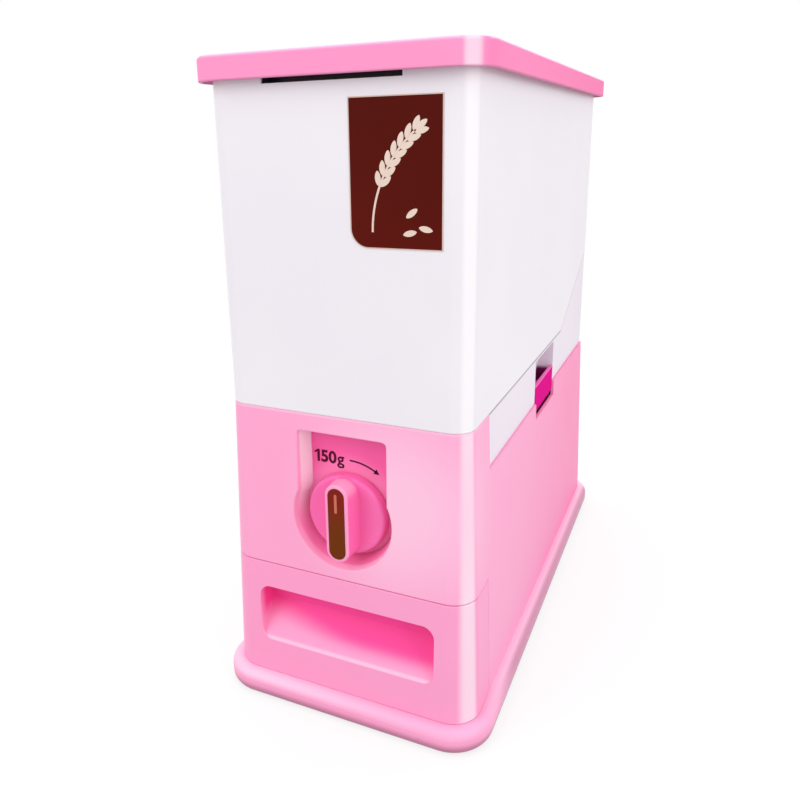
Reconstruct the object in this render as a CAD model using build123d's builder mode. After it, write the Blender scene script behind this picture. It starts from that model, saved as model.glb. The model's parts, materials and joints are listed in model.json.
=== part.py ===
"""Countertop rice dispenser: a lidded hopper on a drafted body, with a dial-driven metering drum and a drawer.

The origin is the middle of the flat underside. +X is to the right of a person facing the dial, +Y points to the
back and +Z points up. Lengths are millimetres.
"""

import os
from math import atan2, degrees, radians, tan

from build123d import *

os.makedirs("parts", exist_ok=True)

# Overall outline, measured where the hopper meets the body
BODY_WIDTH = 180.0
BODY_DEPTH = 415.0
BODY_FLARE = 7.0
CORNER_RADIUS = 15.0
WALL = 2.5
FIT_GAP = 0.4
RUN_GAP = 0.6
SHAFT_GAP = 0.05
EDGE_ROUND = 0.8
OVERRUN = 5.0

# Levels above the surface that the dispenser stands on
FOOT_TOP = 19.0
JUNCTION = 231.0
HOPPER_TOP = 457.0

# Levels below and above the junction of body and hopper
DRAWER_TOP_DROP = 120.0
DECK_GAP = 2.0
RIM_DROP = 40.0
FUNNEL_RISE = 69.0

# Base plate
LIP_OVERHANG = 9.0
LIP_TOP_ROUND = 7.0
LIP_BOTTOM_ROUND = 7.0
BASE_FLOOR = 3.0
BASE_LEDGE = 1.5
BASE_PAD_WALL = 1.2

# Screws and the bosses that take them
SCREW_RADIUS = 1.5
SCREW_HEAD_RADIUS = 3.5
SCREW_HEAD_HEIGHT = 2.4
SCREW_LENGTH = 14.0
SCREW_DRIVE_WIDTH = 1.2
SCREW_DRIVE_DEPTH = 1.0
SCREW_HOLE_GAP = 0.1
BOSS_RADIUS = 4.2
BOSS_HEIGHT = 36.0
BOSS_BITE = 1.0
BASE_SCREW_FRONT_INSET = 57.5
BASE_SCREW_MIDDLE_Y = 70.0
BASE_SCREW_REAR_INSET = 27.5
POST_SIDE_INSET = 20.0
POST_END_INSET = 57.5
POST_RADIUS = 5.0

# Lower body
DRAWER_WRAP = 37.5
BAND_FRONT_INSET = 43.5

# Dial well in the front of the body
DIAL_DROP = 74.0
WELL_RADIUS = 37.0
WELL_HALF_WIDTH = 33.5
WELL_TOP_DROP = 13.0
WELL_DEPTH = 14.0
WELL_DRAFT = 14.0
WELL_CORNER = 3.0
WELL_RIM_ROUND = 1.2

# Support frame between body and hopper
BAND_SETBACK = 0.3
FRAME_DECK_THICKNESS = 2.5
FRAME_DECK_DROP = 43.5
FRAME_SKIRT_DROP = 8.0
FRAME_OPENING_GAP = 4.0
FRAME_FRONT_GAP = 6.0
TONGUE_HEIGHT = 10.0
TONGUE_SETBACK = 30.0

# Side latches
LATCH_FRONT_Y = -22.5
LATCH_LENGTH = 69.0
LATCH_TOP_DROP = 25.0
LATCH_PIN_DROP = 46.5
LATCH_ROUND = 6.5
LATCH_PIN_RADIUS = 1.5
LATCH_PLATE = 3.0
LATCH_SIDE_GAP = 1.2
LATCH_POCKET_DEPTH = 14.0
LATCH_NOSE_WIDTH = 14.0
LATCH_NOSE_DROP = 35.0
LATCH_NOSE_HEIGHT = 3.0
LATCH_NOSE_REACH = 3.0
LATCH_SLOT_HEADROOM = 6.0
LATCH_PIN_BITE = 2.0

# Hopper and its funnel
REAR_SLOPE_LENGTH = 128.5
REAR_EDGE_RISE = 66.0
THROAT_SIZE = 60.0
THROAT_Y = -20.0
THROAT_DROP = 26.0
FUNNEL_FLOOR = 3.0
COLLAR_HEIGHT = 5.0
LUG_WIDTH = 34.0
LUG_THICKNESS = 3.0
LUG_GAP = 0.6
LUG_DROP = 39.0
LUG_WINDOW_GAP = 1.5
LUG_WINDOW_RISE = 3.5
GRIP_SIDE_INSET = 43.0
GRIP_DROP = 13.6
GRIP_HEIGHT = 11.1
GRIP_DEPTH = 12.0

# Lid and hinge
LID_OVERHANG = 9.2
LID_SKIRT_DROP = 11.0
LID_ROOF_THICKNESS = 2.5
LID_TOP_ROUND = 2.5
SEAL_THICKNESS = 2.0
RIB_THICKNESS = 2.0
RIB_HEIGHT = 7.0
RIB_REAR_INSET = 27.5
HINGE_SIDE_INSET = 38.0
HINGE_SETBACK = 13.8
HINGE_DROP = 8.0
HINGE_BARREL = 4.5
HINGE_PIN_RADIUS = 1.5
KNUCKLE_WIDTH = 10.0
EAR_WIDTH = 5.0
BRACKET_PLATE = 2.0
BRACKET_DROP = 8.0

# Metering drum and its housing
DRUM_RADIUS = 34.5
DRUM_HUB_RADIUS = 9.0
DRUM_VANE = 2.6
DRUM_DISC = 2.0
DRUM_VANES = 4
DRUM_VANE_TURN = 45.0
DRUM_LENGTH = 62.8
HOUSING_SIDE = 6.0
HOUSING_WALL = 4.0
HOUSING_TOP_GAP = 1.0
INLET_HALF_WIDTH = 28.0
FOOT_FLANGE = 11.0
FOOT_THICKNESS = 3.5
HOUSING_SCREW_SPAN = 36.0
COVER_THICKNESS = 3.0
COVER_SCREW_INSET = 4.5
WIPER_THICKNESS = 3.0
WIPER_LIFT = 0.8

# Shaft, bushes and clip
SHAFT_RADIUS = 5.0
SHAFT_KNOB_BITE = 11.0
SHAFT_TAIL = 7.0
BUSH_RADIUS = 7.0
BUSH_FLANGE_RADIUS = 10.0
BUSH_FLANGE = 1.5
CLIP_THICKNESS = 1.0
CLIP_RADIUS = 8.0
CLIP_GROOVE = 1.0
DRUM_PIN_RADIUS = 1.5

# Dial knob
DIAL_PLATE = 0.6
KNOB_RADIUS = 29.5
KNOB_DISC = 8.3
KNOB_DISC_ROUND = 2.5
KNOB_BAR_LENGTH = 58.0
KNOB_BAR_WIDTH = 17.5
KNOB_BAR_HEIGHT = 14.0
KNOB_BAR_ROUND = 1.5
INSERT_RIM = 2.4
INSERT_DEPTH = 1.2
INSERT_PROUD = 0.5
INSERT_GAP = 0.15
KNOB_SCREW_RECESS = 6.0

# Drawer
TRAY_SIDE_ROOM = 11.0
TRAY_FRONT_INSET = 23.5
TRAY_THROAT_REACH = 62.0
TRAY_TOP_DROP = 7.0
TRAY_WALL = 2.0
TRAY_CORNER = 8.0
TRAY_LIFT = 1.6
SCOOP_SIDE_INSET = 21.0
SCOOP_BOTTOM_SHARE = 27 / 92
SCOOP_TOP_SHARE = 72 / 92
SCOOP_DEPTH = 20.0
SCOOP_CORNER = 9.0
SCOOP_BACK_HEIGHT = 20.0
DRAWER_BOSS_SIDE_INSET = 15.0
DRAWER_BOSS_EDGE_INSET = 13.0
DRAWER_BOSS_RADIUS = 4.0
RAIL_WIDTH = 16.0
RAIL_GUIDE = 2.0
RAIL_GUIDE_HEIGHT = 12.0
RAIL_FRONT_GAP = 5.0
RAIL_REAR_REACH = 18.0
RAIL_SLACK = 0.3

# Label on the hopper front
LABEL_SIDE_INSET = 18.0
LABEL_WIDTH = 60.0
LABEL_TOP_DROP = 23.5
LABEL_HEIGHT = 88.5
LABEL_CORNER = 12.0
LABEL_THICKNESS = 0.4

# Values worked out from the driving sizes
HALF_WIDTH = BODY_WIDTH / 2
HALF_DEPTH = BODY_DEPTH / 2
DRAWER_TOP = JUNCTION - DRAWER_TOP_DROP
DECK_LEVEL = DRAWER_TOP + DECK_GAP
RIM_STEP = JUNCTION - RIM_DROP
FUNNEL_TOP = JUNCTION + FUNNEL_RISE
DIAL_Z = JUNCTION - DIAL_DROP
WELL_TOP = JUNCTION - WELL_TOP_DROP
FRAME_DECK_LEVEL = JUNCTION - FRAME_DECK_DROP
THROAT_Z = JUNCTION - THROAT_DROP
BASE_SCREW_YS = (-HALF_DEPTH + BASE_SCREW_FRONT_INSET, BASE_SCREW_MIDDLE_Y, HALF_DEPTH - BASE_SCREW_REAR_INSET)
POST_X = HALF_WIDTH - POST_SIDE_INSET
POST_Y = HALF_DEPTH - POST_END_INSET
DRAWER_WRAP_Y = -HALF_DEPTH + DRAWER_WRAP
BAND_FRONT_Y = -HALF_DEPTH + BAND_FRONT_INSET
REAR_SLOPE_Y = HALF_DEPTH - REAR_SLOPE_LENGTH
REAR_EDGE_Z = JUNCTION + REAR_EDGE_RISE
BODY_RISE = JUNCTION - FOOT_TOP
BODY_DRAFT = degrees(atan2(BODY_FLARE, BODY_RISE))
FOOT_WIDTH = BODY_WIDTH + 2 * BODY_FLARE
FOOT_DEPTH = BODY_DEPTH + 2 * BODY_FLARE
FOOT_CORNER = CORNER_RADIUS + BODY_FLARE
DECK_TOP = DECK_LEVEL + WALL
FRAME_DECK_TOP = FRAME_DECK_LEVEL + FRAME_DECK_THICKNESS
INNER_WIDTH = BODY_WIDTH - 2 * WALL
INNER_DEPTH = BODY_DEPTH - 2 * WALL
INNER_CORNER = CORNER_RADIUS - WALL
WELL_FLOOR_Y = -HALF_DEPTH + WELL_DEPTH
WELL_BACK_Y = WELL_FLOOR_Y + WALL
DRUM_FRONT_Y = THROAT_Y - DRUM_LENGTH / 2
DRUM_REAR_Y = THROAT_Y + DRUM_LENGTH / 2
BORE_RADIUS = DRUM_RADIUS + RUN_GAP + FIT_GAP
HOUSING_HALF_WIDTH = BORE_RADIUS + HOUSING_SIDE
HOUSING_FRONT_Y = DRUM_FRONT_Y - RUN_GAP - HOUSING_WALL
HOUSING_REAR_Y = DRUM_REAR_Y + RUN_GAP
THROAT_BOTTOM = THROAT_Z - COLLAR_HEIGHT
HOUSING_TOP = THROAT_BOTTOM - HOUSING_TOP_GAP
COVER_REAR_Y = HOUSING_REAR_Y + COVER_THICKNESS
KNOB_BACK_Y = WELL_FLOOR_Y - DIAL_PLATE - RUN_GAP
KNOB_FACE_Y = KNOB_BACK_Y - KNOB_DISC
BAR_FACE_Y = KNOB_FACE_Y - KNOB_BAR_HEIGHT
SHAFT_FRONT_Y = KNOB_BACK_Y - SHAFT_KNOB_BITE
SHAFT_REAR_Y = COVER_REAR_Y + SHAFT_TAIL
CLIP_Y = COVER_REAR_Y + BUSH_FLANGE + RUN_GAP
LATCH_TOP = JUNCTION - LATCH_TOP_DROP
LATCH_PIN_Z = JUNCTION - LATCH_PIN_DROP
LATCH_NOSE_BOTTOM = JUNCTION - LATCH_NOSE_DROP
LATCH_REAR_Y = LATCH_FRONT_Y + LATCH_LENGTH
LATCH_MIDDLE_Y = LATCH_FRONT_Y + LATCH_LENGTH / 2
LATCH_PIN_X = HALF_WIDTH - LATCH_ROUND
LATCH_POCKET_X = HALF_WIDTH - LATCH_POCKET_DEPTH
LATCH_BOTTOM = LATCH_PIN_Z - LATCH_ROUND
LATCH_POCKET_FRONT = LATCH_FRONT_Y - LATCH_SIDE_GAP
LATCH_POCKET_REAR = LATCH_REAR_Y + LATCH_SIDE_GAP
LUG_OUTER_X = LATCH_POCKET_X - WALL - LUG_GAP
LUG_INNER_X = LUG_OUTER_X - LUG_THICKNESS
LUG_BOTTOM = JUNCTION - LUG_DROP
LATCH_NOSE_TIP_X = LUG_OUTER_X - LATCH_NOSE_REACH
GRIP_HALF_WIDTH = HALF_WIDTH - GRIP_SIDE_INSET
GRIP_BOTTOM = HOPPER_TOP - GRIP_DROP
HINGE_X = HALF_WIDTH - HINGE_SIDE_INSET
HINGE_Z = HOPPER_TOP - HINGE_DROP
HINGE_Y = HALF_DEPTH + HINGE_SETBACK
LID_HALF_WIDTH = HALF_WIDTH + LID_OVERHANG
LID_HALF_DEPTH = HALF_DEPTH + LID_OVERHANG
LID_CORNER = CORNER_RADIUS + LID_OVERHANG
LID_ROOF = HOPPER_TOP + SEAL_THICKNESS
LID_TOP = LID_ROOF + LID_ROOF_THICKNESS
LID_SKIRT_BOTTOM = HOPPER_TOP - LID_SKIRT_DROP
RIB_REAR_Y = HALF_DEPTH - RIB_REAR_INSET
TRAY_HALF_WIDTH = HALF_WIDTH - TRAY_SIDE_ROOM
TRAY_FRONT_Y = -HALF_DEPTH + TRAY_FRONT_INSET
TRAY_REAR_Y = THROAT_Y + TRAY_THROAT_REACH
TRAY_TOP = DRAWER_TOP - TRAY_TOP_DROP
TRAY_BOTTOM = FOOT_TOP + TRAY_LIFT
RAIL_TOP = TRAY_BOTTOM - RAIL_SLACK
RAIL_OUTER_X = TRAY_HALF_WIDTH + RUN_GAP + RAIL_GUIDE
RAIL_FRONT_Y = DRAWER_WRAP_Y + RAIL_FRONT_GAP
RAIL_REAR_Y = TRAY_REAR_Y + RAIL_REAR_REACH
DRAWER_FRONT_TOP = DRAWER_TOP - RUN_GAP
DRAWER_HEIGHT = DRAWER_TOP - FOOT_TOP
SCOOP_HALF_WIDTH = HALF_WIDTH - SCOOP_SIDE_INSET
SCOOP_BOTTOM = FOOT_TOP + SCOOP_BOTTOM_SHARE * DRAWER_HEIGHT
SCOOP_TOP = FOOT_TOP + SCOOP_TOP_SHARE * DRAWER_HEIGHT
DRAWER_BOSS_X = TRAY_HALF_WIDTH - DRAWER_BOSS_SIDE_INSET
DRAWER_BOSS_ZS = (FOOT_TOP + DRAWER_BOSS_EDGE_INSET, DRAWER_TOP - DRAWER_BOSS_EDGE_INSET)
LABEL_LEFT = HALF_WIDTH - LABEL_SIDE_INSET - LABEL_WIDTH
LABEL_BOTTOM = HOPPER_TOP - LABEL_TOP_DROP - LABEL_HEIGHT


def half_width_at(height):
    """Half the outer width of the drafted body at a height."""
    return HALF_WIDTH + BODY_FLARE * (JUNCTION - height) / BODY_RISE


def half_depth_at(height):
    """Half the outer depth of the drafted body at a height."""
    return HALF_DEPTH + BODY_FLARE * (JUNCTION - height) / BODY_RISE


def on_outline(point, half_width, half_depth, corner):
    """Whether a point lies on an upright outline with rounded corners."""
    across = half_width - abs(point.X)
    along = half_depth - abs(point.Y)
    if across < corner and along < corner:
        reach = ((corner - across) ** 2 + (corner - along) ** 2) ** 0.5
        return abs(reach - corner) < SHAFT_GAP
    return min(across, along) < SHAFT_GAP


def on_body_outside(edge):
    """Whether the middle of an edge lies on the drafted outside of the body."""
    middle = edge.center()
    half_width = half_width_at(middle.Z)
    return on_outline(middle, half_width, half_depth_at(middle.Z), CORNER_RADIUS + half_width - HALF_WIDTH)


def skirt_edge_height(y):
    """Height of the hopper skirt's lower edge, which is level and then climbs to the back."""
    climb = (REAR_EDGE_Z - JUNCTION) / (HALF_DEPTH - REAR_SLOPE_Y)
    return JUNCTION + max(0, y - REAR_SLOPE_Y) * climb


def front_plane(y):
    """An upright plane facing the front, with its x to the right and its y up."""
    return Plane(origin=(0, y, 0), x_dir=(1, 0, 0), z_dir=(0, -1, 0))


def rear_plane(y):
    """An upright plane facing the back, with its x to the left and its y up."""
    return Plane(origin=(0, y, 0), x_dir=(-1, 0, 0), z_dir=(0, 1, 0))


def side_plane(x):
    """An upright plane facing right, with its x to the back and its y up."""
    return Plane(origin=(x, 0, 0), x_dir=(0, 1, 0), z_dir=(1, 0, 0))


def block_between(low, high):
    """A plain block between two opposite corners."""
    size = [h - l for l, h in zip(low, high)]
    with BuildPart() as block:
        with Locations(tuple((l + h) / 2 for l, h in zip(low, high))):
            Box(*size)
    return block.part


def drafted_form(inset):
    """A solid that follows the drafted outside of the body, set in all round."""
    with BuildPart() as form:
        with BuildSketch(Plane.XY.offset(FOOT_TOP)):
            RectangleRounded(FOOT_WIDTH - 2 * inset, FOOT_DEPTH - 2 * inset, FOOT_CORNER - inset)
        extrude(amount=BODY_RISE, taper=BODY_DRAFT)
    return form.part


def upright_form(width, depth, corner, bottom, top):
    """A straight block with rounded upright corners."""
    with BuildPart() as form:
        with BuildSketch(Plane.XY.offset(bottom)):
            RectangleRounded(width, depth, corner)
        extrude(amount=top - bottom)
    return form.part


def above_hopper_edge():
    """Everything above the lower edge of the hopper skirt, which is level and then climbs to the back."""
    rear_y = HALF_DEPTH + OVERRUN
    with BuildPart() as region:
        with BuildSketch(side_plane(-HALF_WIDTH - OVERRUN)):
            with BuildLine():
                Polyline(
                    (-rear_y, JUNCTION),
                    (REAR_SLOPE_Y, JUNCTION),
                    (rear_y, skirt_edge_height(rear_y)),
                    (rear_y, HOPPER_TOP + OVERRUN),
                    (-rear_y, HOPPER_TOP + OVERRUN),
                    close=True,
                )
            make_face()
        extrude(amount=BODY_WIDTH + 2 * OVERRUN)
    return region.part


def funnel_form(drop):
    """The inside of the funnel, from the throat up to the hopper walls, lowered by a given amount."""
    with BuildPart() as form:
        with BuildSketch(Plane.XY.offset(THROAT_Z - drop)):
            with Locations((0, THROAT_Y)):
                Rectangle(THROAT_SIZE, THROAT_SIZE)
        with BuildSketch(Plane.XY.offset(FUNNEL_TOP - drop)):
            Rectangle(INNER_WIDTH, INNER_DEPTH)
        loft(ruled=True)
        if drop > 0:
            with BuildSketch(Plane.XY.offset(FUNNEL_TOP - drop)):
                Rectangle(INNER_WIDTH, INNER_DEPTH)
            extrude(amount=drop)
        with BuildSketch(Plane.XY.offset(THROAT_Z - drop)):
            RectangleRounded(INNER_WIDTH, INNER_DEPTH, INNER_CORNER)
        extrude(amount=FUNNEL_TOP - THROAT_Z + drop, mode=Mode.INTERSECT)
    return form.part


def well_form(grow, depth):
    """The keyhole-shaped dial well, measured at the front of the body, grown all round and run out forward."""
    spread = grow + BODY_FLARE * tan(radians(WELL_DRAFT))
    with BuildPart() as form:
        with BuildSketch(rear_plane(-HALF_DEPTH - BODY_FLARE)):
            with Locations((0, DIAL_Z)):
                Circle(WELL_RADIUS + spread)
        extrude(amount=depth + BODY_FLARE, taper=WELL_DRAFT)
        with BuildSketch(rear_plane(-HALF_DEPTH - BODY_FLARE)):
            with Locations((0, (DIAL_Z + WELL_TOP + spread) / 2)):
                RectangleRounded(
                    2 * (WELL_HALF_WIDTH + spread), WELL_TOP + spread - DIAL_Z, WELL_CORNER + spread
                )
        extrude(amount=depth + BODY_FLARE, taper=WELL_DRAFT)
    return form.part


def screws(spots, length=SCREW_LENGTH):
    """Pan-head screws, one at each plane, with the shank along the plane's own -z below the head's seat."""
    made = []
    for spot in spots:
        with BuildPart() as screw:
            with BuildSketch(spot):
                Circle(SCREW_HEAD_RADIUS)
            extrude(amount=SCREW_HEAD_HEIGHT)
            rims = screw.edges().filter_by(GeomType.CIRCLE)
            fillet(rims.sort_by(lambda e: (e.center() - spot.origin).dot(spot.z_dir))[-1], EDGE_ROUND)
            with BuildSketch(spot):
                Circle(SCREW_RADIUS)
            extrude(amount=-length)
            with BuildSketch(spot.offset(SCREW_HEAD_HEIGHT)):
                Rectangle(2 * SCREW_RADIUS + SCREW_DRIVE_WIDTH, SCREW_DRIVE_WIDTH)
                Rectangle(SCREW_DRIVE_WIDTH, 2 * SCREW_RADIUS + SCREW_DRIVE_WIDTH)
            extrude(amount=-SCREW_DRIVE_DEPTH, mode=Mode.SUBTRACT)
        made.append(screw.part)
    return Compound(children=made)


def save(shape, name):
    """Labels one piece and writes it to its own file."""
    shape.label = name
    export_step(shape, f"parts/{name}.step")


outer_form = drafted_form(0)
inner_form = drafted_form(WALL)
frame_outline = upright_form(
    INNER_WIDTH - 2 * FIT_GAP, INNER_DEPTH - 2 * FIT_GAP, INNER_CORNER - FIT_GAP, FOOT_TOP, HOPPER_TOP
)
hopper_region = above_hopper_edge()

# Base plate: a shallow tray with a bulged lip, flat underneath
boss_x = half_width_at(FOOT_TOP + BOSS_HEIGHT / 2) - WALL - BOSS_RADIUS + BOSS_BITE
base_screw_spots = [(side * boss_x, y) for side in (-1, 1) for y in BASE_SCREW_YS]
base_head_room = SCREW_HEAD_RADIUS + FIT_GAP
base_screw_seat = SCREW_HEAD_HEIGHT
with BuildPart() as base_plate:
    with BuildSketch():
        RectangleRounded(
            FOOT_WIDTH + 2 * LIP_OVERHANG, FOOT_DEPTH + 2 * LIP_OVERHANG, FOOT_CORNER + LIP_OVERHANG
        )
    extrude(amount=FOOT_TOP)
    fillet(base_plate.edges().group_by(Axis.Z)[-1], LIP_TOP_ROUND)
    fillet(base_plate.edges().group_by(Axis.Z)[0], LIP_BOTTOM_ROUND)
    with BuildSketch(Plane.XY.offset(BASE_FLOOR)):
        RectangleRounded(FOOT_WIDTH - 2 * BASE_LEDGE, FOOT_DEPTH - 2 * BASE_LEDGE, FOOT_CORNER - BASE_LEDGE)
    extrude(amount=FOOT_TOP, mode=Mode.SUBTRACT)
    with BuildSketch(Plane.XY.offset(BASE_FLOOR)):
        with Locations(*base_screw_spots):
            Circle(base_head_room + BASE_PAD_WALL)
    extrude(amount=base_screw_seat + FIT_GAP)
    with BuildSketch():
        with Locations(*base_screw_spots):
            Circle(base_head_room)
    extrude(amount=base_screw_seat + FIT_GAP, mode=Mode.SUBTRACT)
    with BuildSketch():
        with Locations(*base_screw_spots):
            Circle(SCREW_RADIUS + SCREW_HOLE_GAP)
    extrude(amount=FOOT_TOP, mode=Mode.SUBTRACT)
save(base_plate.part, "base_plate")

base_pad_top = BASE_FLOOR + base_screw_seat + FIT_GAP
save(
    screws([Plane(origin=(x, y, base_screw_seat + FIT_GAP), z_dir=(0, 0, -1)) for x, y in base_screw_spots]),
    "base_screws",
)

# Lower body: drafted shell with the dial well, the deck over the drawer and the stepped rim
post_spots = [(sx * POST_X, sy * POST_Y) for sx in (-1, 1) for sy in (-1, 1)]
housing_flange_x = HOUSING_HALF_WIDTH + FOOT_FLANGE / 2
housing_screw_spots = [
    (sx * housing_flange_x, THROAT_Y + sy * HOUSING_SCREW_SPAN / 2) for sx in (-1, 1) for sy in (-1, 1)
]
deck_half_width = half_width_at(DECK_LEVEL) - WALL / 2
deck_half_depth = half_depth_at(DECK_LEVEL) - WALL / 2
with BuildPart() as lower_body:
    add(outer_form)
    add(inner_form, mode=Mode.SUBTRACT)
    with BuildSketch(Plane.XY.offset(DECK_LEVEL)):
        RectangleRounded(2 * deck_half_width, 2 * deck_half_depth, CORNER_RADIUS)
        with Locations((0, THROAT_Y)):
            Rectangle(2 * INLET_HALF_WIDTH, THROAT_SIZE, mode=Mode.SUBTRACT)
    extrude(amount=WALL)
    add(well_form(WALL, WELL_DEPTH + WALL) & outer_form)
    add(well_form(0, WELL_DEPTH), mode=Mode.SUBTRACT)
    with BuildSketch(rear_plane(WELL_FLOOR_Y)):
        with Locations((0, DIAL_Z)):
            Circle(BUSH_RADIUS)
    extrude(amount=WALL, mode=Mode.SUBTRACT)
    with BuildSketch(Plane.XY.offset(DECK_TOP)):
        with Locations(*post_spots):
            Circle(POST_RADIUS)
    extrude(amount=FRAME_DECK_LEVEL - DECK_TOP)
    with BuildSketch(Plane.XY.offset(FRAME_DECK_LEVEL)):
        with Locations(*post_spots):
            Circle(SCREW_RADIUS + SCREW_HOLE_GAP)
    extrude(amount=-SCREW_LENGTH, mode=Mode.SUBTRACT)
    with BuildSketch(Plane.XY.offset(base_pad_top)):
        with Locations(*base_screw_spots):
            Circle(BOSS_RADIUS)
    extrude(amount=BOSS_HEIGHT)
    with BuildSketch(Plane.XY.offset(base_pad_top)):
        with Locations(*base_screw_spots):
            Circle(SCREW_RADIUS + SCREW_HOLE_GAP)
    extrude(amount=SCREW_LENGTH, mode=Mode.SUBTRACT)
    with BuildSketch(Plane.XY.offset(DECK_LEVEL)):
        with Locations(*housing_screw_spots):
            Circle(SCREW_RADIUS + SCREW_HOLE_GAP)
    extrude(amount=WALL, mode=Mode.SUBTRACT)
    add(
        block_between(
            (-FOOT_WIDTH, -FOOT_DEPTH, FOOT_TOP - OVERRUN),
            (FOOT_WIDTH, DRAWER_WRAP_Y, DRAWER_TOP),
        ),
        mode=Mode.SUBTRACT,
    )
    add(
        block_between(
            (-FOOT_WIDTH, BAND_FRONT_Y, RIM_STEP),
            (FOOT_WIDTH, FOOT_DEPTH, JUNCTION + OVERRUN),
        ),
        mode=Mode.SUBTRACT,
    )
    for side in (-1, 1):
        notch_x = sorted((side * LATCH_POCKET_X, side * FOOT_WIDTH))
        add(
            block_between(
                (notch_x[0], LATCH_POCKET_FRONT, LATCH_BOTTOM - RUN_GAP),
                (notch_x[1], LATCH_POCKET_REAR, JUNCTION),
            ),
            mode=Mode.SUBTRACT,
        )
    well_rim = lower_body.edges().filter_by(
        lambda e: abs(e.center().Y + half_depth_at(e.center().Z)) < SHAFT_GAP
        and abs(e.center().X) < WELL_RADIUS + WALL
        and DRAWER_TOP + WALL < e.center().Z < WELL_TOP + WALL
    )
    fillet(well_rim, WELL_RIM_ROUND)
    drawer_gap_rim = lower_body.edges().filter_by(
        lambda e: on_body_outside(e)
        and (
            (abs(e.center().Z - DRAWER_TOP) < SHAFT_GAP and e.center().Y < DRAWER_WRAP_Y)
            or (abs(e.center().Y - DRAWER_WRAP_Y) < SHAFT_GAP and e.center().Z < DRAWER_TOP)
        )
    )
    fillet(drawer_gap_rim, EDGE_ROUND)
save(lower_body.part, "lower_body")

# Support frame: the white band under the hopper, a deck that ties it together and two latch pockets
latch_pocket_low = LATCH_BOTTOM - RUN_GAP
slot_half = LATCH_NOSE_WIDTH / 2 + RUN_GAP
slot_low = LATCH_NOSE_BOTTOM - RUN_GAP
slot_high = LATCH_NOSE_BOTTOM + LATCH_NOSE_HEIGHT + LATCH_SLOT_HEADROOM
frame_bottom = FRAME_DECK_LEVEL - FRAME_SKIRT_DROP
band_width = BODY_WIDTH - 2 * BAND_SETBACK
band_depth = BODY_DEPTH - 2 * BAND_SETBACK
band_corner = CORNER_RADIUS - BAND_SETBACK
ring_setback = WALL + FIT_GAP
ring_inner = upright_form(
    INNER_WIDTH - 2 * ring_setback,
    INNER_DEPTH - 2 * ring_setback,
    INNER_CORNER - ring_setback,
    FOOT_TOP,
    HOPPER_TOP,
)
band_block = upright_form(band_width, band_depth, band_corner, RIM_STEP + FIT_GAP, REAR_EDGE_Z)
pin_bore = LATCH_PIN_RADIUS + SHAFT_GAP
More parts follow.
